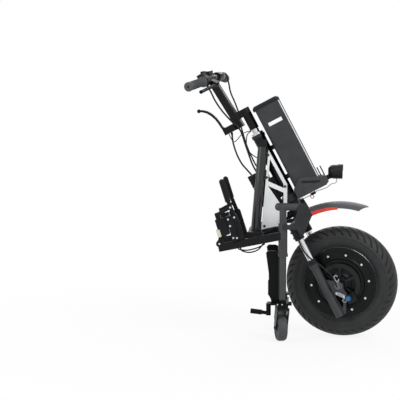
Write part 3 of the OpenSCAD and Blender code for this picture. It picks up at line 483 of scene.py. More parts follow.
class Shape:
    """Solids given in local frames that become one mesh in the row frame."""

    def __init__(self) -> None:
        """Starts with no solid."""
        self.whole = bmesh.new()

    def _add(self, part: bmesh.types.BMesh) -> Shape:
        """Adds a part that is in the row frame, which is used up."""
        carrier = bpy.data.meshes.new("carrier")
        part.to_mesh(carrier)
        part.free()
        self.whole.from_mesh(carrier)
        bpy.data.meshes.remove(carrier)
        return self

    def _join(self, part: bmesh.types.BMesh, station: Station) -> Shape:
        """Closes a part, turns its faces outward and adds it to the whole.

        Args:
            part: The part's mesh in local millimetres, which is used up.
            station: The frame it is in.

        Returns:
            This shape.
        """
        bmesh.ops.remove_doubles(part, verts=part.verts, dist=1e-3)
        bmesh.ops.recalc_face_normals(part, faces=part.faces)
        part.transform(station.matrix)
        return self._add(part)

    @staticmethod
    def _skinned(rings: list[list[Point | Vector]]) -> bmesh.types.BMesh:
        """A mesh through a row of rings that have as many corners each, closed at both ends."""
        part = bmesh.new()
        rows = [[part.verts.new(point) for point in ring] for ring in rings]
        for here, there in zip(rows, rows[1:]):
            for k in range(len(here)):
                j = (k + 1) % len(here)
                part.faces.new((here[k], here[j], there[j], there[k]))
        part.faces.new(rows[0])
        part.faces.new(rows[-1])
        return part

    def skin(self, station: Station, rings: list[list[Point]]) -> Shape:
        """Adds a solid through a row of rings.

        Args:
            station: The frame of the rings.
            rings: Corners of each ring in order, as many in each.

        Returns:
            This shape.
        """
        return self._join(self._skinned(rings), station)

    def block(self, station: Station, low: Point, high: Point, edge: float = 1.0) -> Shape:
        """Adds a box with rounded edges.

        Args:
            station: The frame of its corners.
            low: Lowest corner.
            high: Highest corner.
            edge: Radius of the edges.

        Returns:
            This shape.
        """
        part = bmesh.new()
        bmesh.ops.create_cube(part, size=1.0)
        for vert in part.verts:
            vert.co = Vector([low[i] if vert.co[i] < 0 else high[i] for i in range(3)])
        bmesh.ops.bevel(part, geom=part.edges[:], offset=edge, segments=2, affect="EDGES", profile=0.5)
        return self._join(part, station)

    def plate(self, station: Station, outline: Profile, low: float, high: float, edge: float = 0.6) -> Shape:
        """Adds a plate with an X-Z outline that runs from low to high along Y.

        Args:
            station: The frame of the outline.
            outline: Its corners in order.
            low: Lowest Y.
            high: Highest Y.
            edge: Radius of the edges.

        Returns:
            This shape.
        """
        part = bmesh.new()
        near = part.faces.new([part.verts.new((x, low, z)) for x, z in outline])
        made = bmesh.ops.extrude_face_region(part, geom=[near])
        moved = [v for v in made["geom"] if isinstance(v, bmesh.types.BMVert)]
        bmesh.ops.translate(part, verts=moved, vec=(0, high - low, 0))
        bmesh.ops.recalc_face_normals(part, faces=part.faces)
        if edge > 0:
            rims = [e for e in part.edges if abs(e.verts[0].co.y - e.verts[1].co.y) < 1e-6]
            bmesh.ops.bevel(part, geom=rims, offset=edge, segments=1, affect="EDGES")
        return self._join(part, station)

    def turned(self, station: Station, profile: Profile, steps: int = 32) -> Shape:
        """Adds a solid of revolution about the frame's Z axis.

        Args:
            station: Its frame.
            profile: Radius and height of each corner, as a closed loop or from axis to axis.
            steps: Number of steps in a turn.

        Returns:
            This shape.
        """
        part = bmesh.new()
        rings = []
        for step in range(steps):
            angle = 2 * math.pi * step / steps
            rings.append([part.verts.new((r * math.cos(angle), r * math.sin(angle), z)) for r, z in profile])
        pole_to_pole = profile[0][0] == 0 and profile[-1][0] == 0
        spans = len(profile) - 1 if pole_to_pole else len(profile)
        for step in range(steps):
            here = rings[step]
            there = rings[(step + 1) % steps]
            for i in range(spans):
                j = (i + 1) % len(profile)
                part.faces.new((here[i], there[i], there[j], here[j]))
        return self._join(part, station)

    def tube(self, path: list[Vector], radius: float, sides: int = 12) -> Shape:
        """Adds a round tube along a path that is already in the row frame.

        Args:
            path: Points in metres.
            radius: Radius in metres.
            sides: Number of sides.

        Returns:
            This shape.
        """
        last = len(path) - 1
        side = None
        rings = []
        for i, point in enumerate(path):
            along = (path[min(i + 1, last)] - path[max(i - 1, 0)]).normalized()
            if side is None:
                side = along.orthogonal()
            side = (side - along * side.dot(along)).normalized()
            across = along.cross(side)
            ring = []
            for k in range(sides):
                angle = 2 * math.pi * k / sides
                ring.append(point + radius * (math.cos(angle) * side + math.sin(angle) * across))
            rings.append(ring)
        part = self._skinned(rings)
        bmesh.ops.recalc_face_normals(part, faces=part.faces)
        return self._add(part)

    def mesh(self, name: str) -> bpy.types.Mesh:
        """Hands over the whole as a mesh with smooth faces and sharp edges, and is used up."""
        made = bpy.data.meshes.new(name)
        self.whole.to_mesh(made)
        self.whole.free()
        smooth(made)
        return made


def smooth(mesh: bpy.types.Mesh, sharp: float = 32.0) -> None:
    """Shades a mesh smooth, with edges sharper than the given angle kept.

    Args:
        mesh: The mesh to shade.
        sharp: Angle in degrees.
    """
    mesh.polygons.foreach_set("use_smooth", [True] * len(mesh.polygons))
    mesh.set_sharp_from_angle(angle=math.radians(sharp))


@dataclass
class Workshop:
    """Gives finishes to solids and turns meshes into pieces that ride on the part's bodies."""

    nodes: dict[str, bpy.types.Object]
    materials: dict[str, bpy.types.Material] = field(default_factory=dict)
    made: list[str] = field(default_factory=list)

    def material(self, finish: Finish) -> bpy.types.Material:
        """The material of a finish, built once."""
        if finish.name not in self.materials:
            self.materials[finish.name] = finish.material()
        return self.materials[finish.name]

    def dress(self, subparts: list[dict]) -> None:
        """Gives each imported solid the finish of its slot, or its own.

        Args:
            subparts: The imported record's list of nodes and their slots.
        """
        for subpart in subparts:
            node = subpart["node"]
            finish = NODE_FINISH.get(node, SLOT_FINISH[subpart["material_slot"]])
            data = self.nodes[node].data
            data.materials.clear()
            data.materials.append(self.material(finish))

    def piece(
        self,
        name: str,
        mesh: bpy.types.Mesh,
        finish: Finish,
        body: str | None,
        slot: str,
        stands_for: tuple[str, ...] = (),
    ) -> bpy.types.Object:
        """Makes a finished piece from a mesh in the row frame.

        Args:
            name: Name of the piece.
            mesh: Its mesh.
            finish: Its finish.
            body: The body it rides on, or None to leave it on no body.
            slot: Not used.
            stands_for: Nodes that it replaces.

        Returns:
            The piece's object.
        """
        piece = bpy.data.objects.new(name, mesh)
        bpy.context.scene.collection.objects.link(piece)
        mesh.materials.clear()
        mesh.materials.append(self.material(finish))
        mesh.polygons.foreach_set("material_index", [0] * len(mesh.polygons))
        if body:
            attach(piece, body)
        if stands_for:
            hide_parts(*stands_for)
        self.made.append(name)
        log.info("made %s, %d faces", name, len(mesh.polygons))
        return piece


class PatternTree(NodeWriter):
    """A Geometry Nodes tree built in code, with its inputs by name."""

    def __init__(self, name: str) -> None:
        """Opens an empty tree.

        Args:
            name: Name of the tree.
        """
        super().__init__(bpy.data.node_groups.new(name, "GeometryNodeTree"))
        self.identifiers: dict[str, str] = {}
        for way in ("INPUT", "OUTPUT"):
            self.tree.interface.new_socket("Geometry", in_out=way, socket_type="NodeSocketGeometry")
        self.entry = self.tree.nodes.new("NodeGroupInput")
        self.exit = self.tree.nodes.new("NodeGroupOutput")
        self.add_input("Material", "NodeSocketMaterial")

    @property
    def geometry(self) -> Socket:
        """The geometry that comes in."""
        return self.entry.outputs["Geometry"]

    def add_input(self, name: str, kind: str = "NodeSocketFloat") -> Socket:
        """Adds a named input.

        Args:
            name: Name of the input.
            kind: Its socket type.

        Returns:
            The socket to link from.
        """
        socket = self.tree.interface.new_socket(name, in_out="INPUT", socket_type=kind)
        self.identifiers[name] = socket.identifier
        return self.entry.outputs[name]

    def attribute(self, name: str, kind: str) -> Socket:
        """Reads a named attribute of the mesh that comes in."""
        read = self.node("GeometryNodeInputNamedAttribute", {"Name": name}, data_type=kind)
        return read.outputs["Attribute"]

    def close(self, geometry: Socket) -> None:
        """Ends the tree in real meshes with the material set.

        Args:
            geometry: The geometry that goes out.
        """
        real = self.node("GeometryNodeRealizeInstances", {"Geometry": geometry})
        painted = self.node(
            "GeometryNodeSetMaterial",
            {"Geometry": real.outputs[0], "Material": self.entry.outputs["Material"]},
        )
        self.tree.links.new(painted.outputs[0], self.exit.inputs[0])

    def make(self, mesh: bpy.types.Mesh, values: dict[str, object]) -> bpy.types.Mesh:
        """Runs the tree on a mesh.

        Args:
            mesh: The mesh that goes in.
            values: The inputs by name.

        Returns:
            The plain mesh that comes out.
        """
        carrier = bpy.data.objects.new("carrier", mesh)
        bpy.context.scene.collection.objects.link(carrier)
        modifier = carrier.modifiers.new(self.tree.name, "NODES")
        modifier.node_group = self.tree
        for name, value in values.items():
            modifier[self.identifiers[name]] = value
        graph = bpy.context.evaluated_depsgraph_get()
        made = bpy.data.meshes.new_from_object(carrier.evaluated_get(graph))
        carrier.modifiers.clear()
        bpy.data.objects.remove(carrier)
        bpy.data.meshes.remove(mesh)
        return made


@dataclass(frozen=True)
class Mark:
    """A place for a repeated shape: a point, the way it faces and the way its X axis runs."""

    point: Vector
    facing: Vector
    along: Vector


def mark_mesh(marks: list[Mark]) -> bpy.types.Mesh:
    """Puts marks into a mesh of loose points with their directions as attributes.

    Args:
        marks: The places.

    Returns:
        The mesh of points.
    """
    mesh = bpy.data.meshes.new("marks")
    mesh.from_pydata([mark.point for mark in marks], [], [])
    for name in ("facing", "along"):
        values = [c for mark in marks for c in getattr(mark, name)]
        mesh.attributes.new(name, "FLOAT_VECTOR", "POINT").data.foreach_set("vector", values)
    return mesh


class StampTree(PatternTree):
    """Stamps one small shape on every mark, turned to its directions."""

    def __init__(self, name: str) -> None:
        """Builds the tree around the shape of the subclass.

        Args:
            name: Name of the tree.
        """
        super().__init__(name)
        facing = self.attribute("facing", "FLOAT_VECTOR")
        along = self.attribute("along", "FLOAT_VECTOR")
        raised = self.node("FunctionNodeAlignRotationToVector", {"Vector": facing}, axis="Z")
        swung = self.node(
            "FunctionNodeAlignRotationToVector",
            {"Rotation": raised.outputs[0], "Vector": along},
            axis="X",
            pivot_axis="Z",
        )
        stamped = self.node(
            "GeometryNodeInstanceOnPoints",
            {"Points": self.geometry, "Instance": self.shape(), "Rotation": swung.outputs[0]},
        )
        self.close(stamped.outputs[0])

    def shape(self) -> Socket:
        """The shape to stamp, which each kind of stamp builds."""
        raise NotImplementedError


class BoltHeads(StampTree):
    """Socket-head bolts: a tapered head with a hexagonal socket."""

    def shape(self) -> Socket:
        """Builds one head that stands on its mark."""
        radius = self.add_input("Head Radius")
        height = self.add_input("Head Height")
        cone = self.node(
            "GeometryNodeMeshCone",
            {
                "Vertices": 20,
                "Radius Bottom": radius,
                "Radius Top": self.math("MULTIPLY", radius, 0.84),
                "Depth": height,
            },
        )
        hexagon = self.node(
            "GeometryNodeMeshCylinder",
            {"Vertices": 6, "Radius": self.math("MULTIPLY", radius, 0.5), "Depth": height},
        )
        lift = self.node("ShaderNodeCombineXYZ", {"Z": self.math("MULTIPLY", height, 0.95)})
        raised = self.node(
            "GeometryNodeTransform", {"Geometry": hexagon.outputs["Mesh"], "Translation": lift.outputs[0]}
        )
        socketed = self.node(
            "GeometryNodeMeshBoolean",
            {"Mesh 1": cone.outputs["Mesh"], "Mesh 2": raised.outputs[0]},
            operation="DIFFERENCE",
        )
        return socketed.outputs[0]


class RibRings(StampTree):
    """Raised rings round a grip."""

    def shape(self) -> Socket:
        """Builds one ring in the plane across its mark."""
        ring = self.node(
            "GeometryNodeCurvePrimitiveCircle", {"Resolution": 40, "Radius": self.add_input("Ring Radius")}
        )
        section = self.node(
            "GeometryNodeCurvePrimitiveCircle", {"Resolution": 6, "Radius": self.add_input("Rib Radius")}
        )
        swept = self.node(
            "GeometryNodeCurveToMesh", {"Curve": ring.outputs[0], "Profile Curve": section.outputs[0]}
        )
        return swept.outputs[0]


class Beads(StampTree):
    """Flattened beads, for welds and for short moulded ridges."""

    def shape(self) -> Socket:
        """Builds one bead of the given length, width and height."""
        ball = self.node("GeometryNodeMeshUVSphere", {"Segments": 10, "Rings": 6, "Radius": 0.5})
        spread = self.node(
            "ShaderNodeCombineXYZ",
            {
                "X": self.add_input("Length"),
                "Y": self.add_input("Width"),
                "Z": self.add_input("Height"),
            },
        )
        shaped = self.node(
            "GeometryNodeTransform", {"Geometry": ball.outputs["Mesh"], "Scale": spread.outputs[0]}
        )
        return shaped.outputs[0]


class TreadTree(PatternTree):
    """Cuts curved grooves into a tyre whose points know their turn and their place across."""

    def __init__(self) -> None:
        """Builds the tree."""
        super().__init__("tread")
        count = self.add_input("Groove Count")
        sweep = self.add_input("Groove Sweep")
        half = self.add_input("Half Width")
        depth = self.add_input("Depth")
        across = self.attribute("across", "FLOAT")
        turn = self.attribute("turn", "FLOAT")
        out = self.math("ABSOLUTE", across)
        far_side = self.math("MULTIPLY", self.math("GREATER_THAN", across, 0.0), 0.5)
        bend = self.math("MULTIPLY", self.math("POWER", out, 0.8), sweep)
        phase = self.math("ADD", self.math("MULTIPLY_ADD", turn, count, bend), far_side)
        from_middle = self.math("ABSOLUTE", self.math("SUBTRACT", self.math("FRACT", phase), 0.5))
        notch = self._fade(from_middle, self.math("MULTIPLY", half, 1.7), half)
        inner = self._fade(out, 0.07, 0.12)
        outer = self._fade(out, 1.0, 0.9)
        cut = self.math("MULTIPLY", self.math("MULTIPLY", notch, inner), self.math("MULTIPLY", outer, depth))
        inward = self.node(
            "ShaderNodeVectorMath",
            {0: self.node("GeometryNodeInputNormal").outputs[0], "Scale": self.math("MULTIPLY", cut, -1.0)},
            operation="SCALE",
        )
        placed = self.node(
            "GeometryNodeSetPosition", {"Geometry": self.geometry, "Offset": inward.outputs[0]}
        )
        self.close(placed.outputs[0])

    def _fade(self, value: object, start: object, end: object) -> Socket:
        """A smooth step from 0 at start to 1 at end."""
        return self.node(
            "ShaderNodeMapRange",
            {"Value": value, "From Min": start, "From Max": end},
            interpolation_type="SMOOTHSTEP",
        ).outputs["Result"]


@dataclass
class Studio:
    """Camera, light, floor and white background. Lengths are in metres."""

    camera_place: Point = (-0.0471, -4.47, 0.774)
    camera_yaw: float = 4.0
    camera_pitch: float = 3.2
    lens: float = 103.9
    sensor: float = 36.0
    sky: float = 0.62
    floor_half: float = 30.0
    floor_low: float = -0.0004
    floor_grey: float = 0.86
    floor_glow: float = 0.86
    floor_fade: Spot = (0.5, 2.2)
    aim: Point = (0, 0, 0.5)
    lamps: tuple[tuple[str, Point, float, float], ...] = (
        ("key_light", (2.2, -3.0, 3.2), 2.4, 95.0),
        ("fill_light", (-3.0, -2.4, 1.8), 2.6, 38.0),
        ("back_light", (0.4, 3.0, 2.8), 2.4, 45.0),
    )

    def build(self) -> None:
        """Builds all of it."""
        bpy.context.scene.view_settings.view_transform = "Standard"
        self._camera()
        self._world()
        self._floor()
        for lamp in self.lamps:
            self._lamp(*lamp)

    def _camera(self) -> None:
        """Places the camera at the viewing angle."""
        data = bpy.data.cameras.new("view")
        data.lens = self.lens
        data.sensor_width = self.sensor
        data.clip_start = 0.1
        camera = bpy.data.objects.new("view", data)
        camera.location = self.camera_place
        camera.rotation_euler = (math.radians(90 - self.camera_pitch), 0, math.radians(self.camera_yaw))
        bpy.context.scene.collection.objects.link(camera)
        bpy.context.scene.camera = camera

    @staticmethod
    def _seen_directly(writer: NodeWriter) -> Socket:
        """Adds a value that is 1 for camera, glossy and transmission rays.

        Args:
            writer: Writer of the tree.

        Returns:
            The value's socket.
        """
        path = writer.node("ShaderNodeLightPath").outputs
        seen = path["Is Camera Ray"]
        for name in ("Is Glossy Ray", "Is Transmission Ray"):
            seen = writer.math("MAXIMUM", seen, path[name])
        return seen

    def _world(self) -> None:
        """Lights the object plainly and shows white behind it."""
        world = bpy.data.worlds.new("studio")
        world.use_nodes = True
        bpy.context.scene.world = world
        writer = NodeWriter(world.node_tree)
        light = world.node_tree.nodes["Background"]
        writer.fill(light, {"Color": WHITE, "Strength": self.sky})
        white = writer.node("ShaderNodeBackground", {"Color": WHITE, "Strength": 1.0})
        mix = writer.node(
            "ShaderNodeMixShader",
            {"Fac": self._seen_directly(writer), 1: light.outputs[0], 2: white.outputs[0]},
        )
        writer.fill(world.node_tree.nodes["World Output"], {"Surface": mix.outputs[0]})

    def _floor(self) -> None:
        """Lays a pale floor that keeps a soft shadow."""
        half = self.floor_half
        around = ((-half, -half), (half, -half), (half, half), (-half, half))
        corners = [(x, y, self.floor_low) for x, y in around]
        mesh = bpy.data.meshes.new("floor")
        mesh.from_pydata(corners, [], [(0, 1, 2, 3)])
        floor = bpy.data.objects.new("floor", mesh)
        bpy.context.scene.collection.objects.link(floor)
        mesh.materials.append(self._floor_material())

    def _floor_material(self) -> bpy.types.Material:
        """Builds a matt white that glows for the camera, and fully so away from the object."""
        material = bpy.data.materials.new("floor_white")
        material.use_nodes = True
        nodes = material.node_tree.nodes
        nodes.remove(nodes["Principled BSDF"])
        writer = NodeWriter(material.node_tree)
        grey = (self.floor_grey, self.floor_grey, self.floor_grey, 1)
        matt = writer.node("ShaderNodeBsdfDiffuse", {"Color": grey})
        glow = writer.node("ShaderNodeEmission", {"Strength": 1.0})
        place = writer.node("ShaderNodeNewGeometry").outputs["Position"]
        distance = writer.node("ShaderNodeVectorMath", {0: place}, operation="LENGTH")
        near, far = self.floor_fade
        fade = writer.node(
            "ShaderNodeMapRange",
            {
                "Value": distance.outputs["Value"],
                "From Min": near,
                "From Max": far,
                "To Min": self.floor_glow,
            },
            interpolation_type="SMOOTHSTEP",
        )
        share = writer.math("MULTIPLY", self._seen_directly(writer), fade.outputs["Result"])
        mix = writer.node("ShaderNodeMixShader", {"Fac": share, 1: matt.outputs[0], 2: glow.outputs[0]})
        writer.fill(nodes["Material Output"], {"Surface": mix.outputs[0]})
        return material

    def _lamp(self, name: str, place: Point, size: float, power: float) -> None:
        """Hangs a square soft lamp that points at the middle of the object.

        Args:
            name: Name of the lamp.
            place: Where it hangs, in metres.
            size: Its width in metres.
            power: Its power in watts.
        """
        data = bpy.data.lights.new(name, "AREA")
        data.size = size
        data.energy = power
        lamp = bpy.data.objects.new(name, data)
        lamp.location = place
        aim = Vector(self.aim) - Vector(place)
        lamp.rotation_euler = aim.to_track_quat("-Z", "Y").to_euler()
        bpy.context.scene.collection.objects.link(lamp)


@dataclass(frozen=True)
class Cord:
    """A cord that the part holds at both ends.

    The route's points are given in millimetres before the origin is set, and the diameter
    is in millimetres too. Where far_body is given the cord rides on no body and stays in the row frame.
    """

    name: str
    route: tuple[Point, ...]
    diameter: float
    finish: Finish = CABLE_BLACK
    body: str = "frame"
    stands_for: tuple[str, ...] = ()
    far_body: str = ""
    bend_to: int = -1
    far_end: str = "object"

    def path(self, home: Station) -> list[Vector]:
        """The smooth line through the route's points.

        Args:
            home: The frame of the route.

        Returns:
            Points in the row frame, in metres.
        """
        steps = 8
        points = [home.at(*point) for point in self.route]
        last = len(points) - 1
        line = []
        for i in range(last):
            a, b = points[max(i - 1, 0)], points[i]
            c, d = points[i + 1], points[min(i + 2, last)]
            for k in range(steps):
                t = k / steps
                bend = (2 * a - 5 * b + 4 * c - d) * t * t + (3 * b - a - 3 * c + d) * t * t * t
                line.append(0.5 * (2 * b + (c - a) * t + bend))
        line.append(points[-1])
        return line

    def build(self, shop: Workshop, home: Station) -> bpy.types.Object:
        """Makes the cord and says what it is.

        Args:
            shop: The workshop.
            home: The frame of the route.

        Returns:
            The cord's object.
        """
        line = self.path(home)
        mesh = Shape().tube(line, self.diameter * MM / 2).mesh(self.name)
        smooth(mesh, 60)
        body = None if self.far_body else self.body
        cord = shop.piece(self.name, mesh, self.finish, body, "cable_sheath", self.stands_for)
        if self.far_body:
            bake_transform(cord)
        return cord


LEVER_CABLE = Cord(
    "lever_cable",
    (
        (-347.9, -16, 622.4),
        (-366, -16, 643),
        (-385, -14, 665),
        (-404, -10, 700),
        (-419, -5, 745),
        (-424.8, -1, 785.9),
    ),
    6.6,
    stands_for=("control_cables",),
    far_body="steering",
)

THROTTLE_CABLE = Cord(
    "throttle_cable",
    (
        (-328.4, -8, 632.6),
        (-342, -9, 657),
        (-352, -18, 682),
        (-370, -32, 735),
        (-392, -40, 796),
        (-423, -46, 827),
        (-455, -62, 862),
        (-482, -84, 901),
        (-500, -113, 939),
        (-510.8, -122.6, 957.4),
    ),
    6.6,
    stands_for=("control_cables",),
    far_body="steering",
    bend_to=4,
)

BRAKE_CABLE = Cord(
    "brake_cable",
    (
        (-319.5, 12, 637.2),
        (-343, 16, 680),
        (-366, 30, 730),
        (-388, 42, 800),
        (-396, 34, 850),
        (-412, 20, 897),
        (-430, 14, 940),
        (-437, 4, 975),
        (-444, -12, 1000),
        (-453, -33, 1009),
        (-461, -54, 1001),
        (-470, -71.5, 980.5),
        (-479.4, -92.6, 973.4),
    ),
    6.0,
    stands_for=("control_cables",),
    far_body="steering",
    bend_to=3,
)

ARM_CABLE = Cord(
    "arm_lead",
    ((-386, -142, 353.5), (-378, -142, 341), (-350, -142, 336), (-320, -142, 346), (-300, -142, 369.3)),
    5.0,
    stands_for=("arm_cable",),
)

ARM_CABLE_TWO = Cord(
    "arm_lead_two",
    (
        (-394, -152, 352),
        (-385, -152, 347),
        (-362, -152, 345),
        (-336, -152, 350),
        (-310, -152, 360),
        (-294, -152, 370.6),
    ),
    5.0,
)

STEM_WIRE = Cord(
    "stem_wire",
    (
        (-435.4, -6, 781.5),
        (-430, -6, 768),
        (-417.5, -6, 750),
        (-404, -6, 757),
        (-389, -6, 775),
        (-372, -4, 786),
        (-352, -2, 792),
    ),
    3.4,
    body="steering",
)

LOOM_WIRE = Cord(
    "loom_wire",
    (
        (-322, -44, 686),
        (-348, -36, 703),
        (-364, -28, 724),
        (-368, -20, 752),
        (-364, -12, 778),
        (-350, -6, 790),
    ),
    4.0,
    far_body="steering",
)

MOTOR_LEAD = Cord(
    "motor_cable",
    (
        (-188.2, -102.4, 420.4),
        (-174.3, -102.4, 393.8),
        (-141, -104, 328),
        (-84, -108, 284),
        (-42, -112, 244),
        (-23.5, -114.8, 203.8),
    ),
    6.0,
    body="steering",
    stands_for=("motor_lead",),
    far_body="fork_lowers",
)

LAMP_LEAD = Cord(
    "lamp_lead",
    (
        (-24, -6, 610),
        (-21, -6, 600),
        (-28, -7, 592),
        (-42, -8, 588),
        (-56, -8, 577),
        (-70, -8, 570),
        (-88, -8, 564),
        (-101, -8, 559),
    ),
    3.0,
    finish=CABLE_GREY,
)

TRAY_LEAD = Cord(
    "tray_lead",
    (
        (-122, -8, 545),
        (-134, -8, 538),
        (-150, -8, 531),
        (-164, -8, 530),
        (-172, -8, 537),
    ),
    3.0,
    finish=CABLE_GREY,
)

CORDS = (
    LEVER_CABLE,
    THROTTLE_CABLE,
    BRAKE_CABLE,
    ARM_CABLE,
    ARM_CABLE_TWO,
    STEM_WIRE,
    LOOM_WIRE,
    MOTOR_LEAD,
    LAMP_LEAD,
    TRAY_LEAD,
)


@dataclass
class SubAssembly:
    """A group of pieces, made in one workshop and placed by the part's local frames."""

    shop: Workshop
    stations: Stations

    def build(self) -> None:
        """Makes the pieces, which each group does in its own way."""
        raise NotImplementedError

    def solid(self, name: str, shape: Shape, finish: Finish, body: str, slot: str) -> None:
        """Makes a piece from a shape.

        Args:
            name: Name of the piece.
            shape: The shape, which is used up.
            finish: Its finish.
            body: The body it rides on.
            slot: The record's slot, passed on to the workshop, which does not use it.
        """
        self.shop.piece(name, shape.mesh(name), finish, body, slot)


@dataclass
class Wheel(SubAssembly):
    """The treaded tyre, and the rim's lips: a thin grey metallic bead, lighter than the black rim, as a painted
    highlight. Sizes are in millimetres in the wheel's frame.
    """

    crown_r: float = 47.0
    ring_r: float = 168.5
    bead_r: float = 129.0
    bead_z: float = 30.5
    bead_wide: float = 10.0
    wall: float = 9.0
    wall_z: float = 24.0
    flange_r: float = 141.0
    tread_angle: float = 70.0
    ridge_angle: float = 75.0
    drop_angle: float = 79.0
    wall_drop: float = 1.8
    drop_soft: float = 1.2
    ridge_high: float = 1.0
    ridge_soft: float = 2.2
    full_angle: float = 112.0
    spans: int = 80
    groove_count: float = 40.0
    groove_sweep: float = -2.1
    groove_half: float = 0.06
    groove_depth: float = 4.0
    steps: int = 720
    lip_r: float = 2.6
    lip_inset: float = 3.4
    lip_proud: float = 0.6
    lip_sides: int = 10
    lip_steps: int = 120

    def _section(self) -> tuple[list[Spot], list[float]]:
        """The tyre's closed section, and each corner's place across the crown from -1 to 1."""
        outer: list[Spot] = []
        across: list[float] = []
        for i in range(self.spans + 1):
            angle = self.full_angle * (2 * i / self.spans - 1)
            drop = self.wall_drop / (1 + math.exp(-(abs(angle) - self.drop_angle) / self.drop_soft))
            ridge = self.ridge_high * math.exp(-(((abs(angle) - self.ridge_angle) / self.ridge_soft) ** 2))
            radius = self.crown_r - self.ridge_high + ridge - drop
            turn = math.radians(angle)
            outer.append((self.ring_r + radius * math.cos(turn), radius * math.sin(turn)))
            across.append(max(-1.0, min(1.0, angle / self.tread_angle)))
        arch = self.crown_r - self.wall
        inside = [
            (self.flange_r + 1.0, self.bead_z + 0.4),
            (self.flange_r - 1.0, self.bead_z),
            (self.bead_r, self.bead_z),
            (self.bead_r, self.bead_z - self.bead_wide),
            (self.ring_r - 30, self.wall_z),
            (self.ring_r, arch),
        ]
        for angle in (60, 30):
            turn = math.radians(angle)
            inside.append((self.ring_r + arch * math.cos(turn), arch * math.sin(turn)))
        back = [(r, -z) for r, z in reversed(inside)]
        return outer + inside + back, across + [1.0] * (2 * len(inside))

    def _blank(self) -> bpy.types.Mesh:
        """Turns the section into a smooth tyre whose points know their turn and place across."""
        wheel = self.stations.wheel
        section, across = self._section()
        rings = len(section)
        verts = []
        turns = []
        faces = []
        for step in range(self.steps):
            angle = 2 * math.pi * step / self.steps
            verts += [wheel.at(r * math.cos(angle), r * math.sin(angle), z) for r, z in section]
            turns += [step / self.steps] * rings
            here = step * rings
            there = (step + 1) % self.steps * rings
            for i in range(rings):
                j = (i + 1) % rings
                faces.append((here + i, here + j, there + j, there + i))
        mesh = bpy.data.meshes.new("tyre_blank")
        mesh.from_pydata(verts, [], faces)
        mesh.attributes.new("turn", "FLOAT", "POINT").data.foreach_set("value", turns)
        mesh.attributes.new("across", "FLOAT", "POINT").data.foreach_set("value", across * self.steps)
        closed = bmesh.new()
        closed.from_mesh(mesh)
        bmesh.ops.recalc_face_normals(closed, faces=closed.faces)
        closed.to_mesh(mesh)
        closed.free()
        return mesh

    def build(self) -> None:
        """Makes the tyre with its tread and the rim's lips, a light grey ring that is a painted highlight."""
        made = TreadTree().make(
            self._blank(),
            {
                "Groove Count": self.groove_count,
                "Groove Sweep": self.groove_sweep,
                "Half Width": self.groove_half,
                "Depth": self.groove_depth * MM,
                "Material": self.shop.material(TYRE_RUBBER),
            },
        )
        smooth(made, 40)
        self.shop.piece("treaded_tyre", made, TYRE_RUBBER, "wheel", "tyre_rubber", ("tyre",))
        # The lips are a thin bead along the rim's flange, lighter than the rim as a painted highlight.
        highlight_ring = Shape()
        for side in (RIGHT, LEFT):
            seat = side * (self.bead_z + self.lip_proud)
            ring = []
            for i in range(self.lip_sides):
                turn = 2 * math.pi * i / self.lip_sides
                radius = self.flange_r - self.lip_inset + self.lip_r * math.cos(turn)
                ring.append((radius, seat + self.lip_r * math.sin(turn)))
            highlight_ring.turned(self.stations.wheel, ring, self.lip_steps)
        self.solid("rim_highlight_lips", highlight_ring, RIM_PAINTED_HIGHLIGHT, "wheel", "hub_metal")


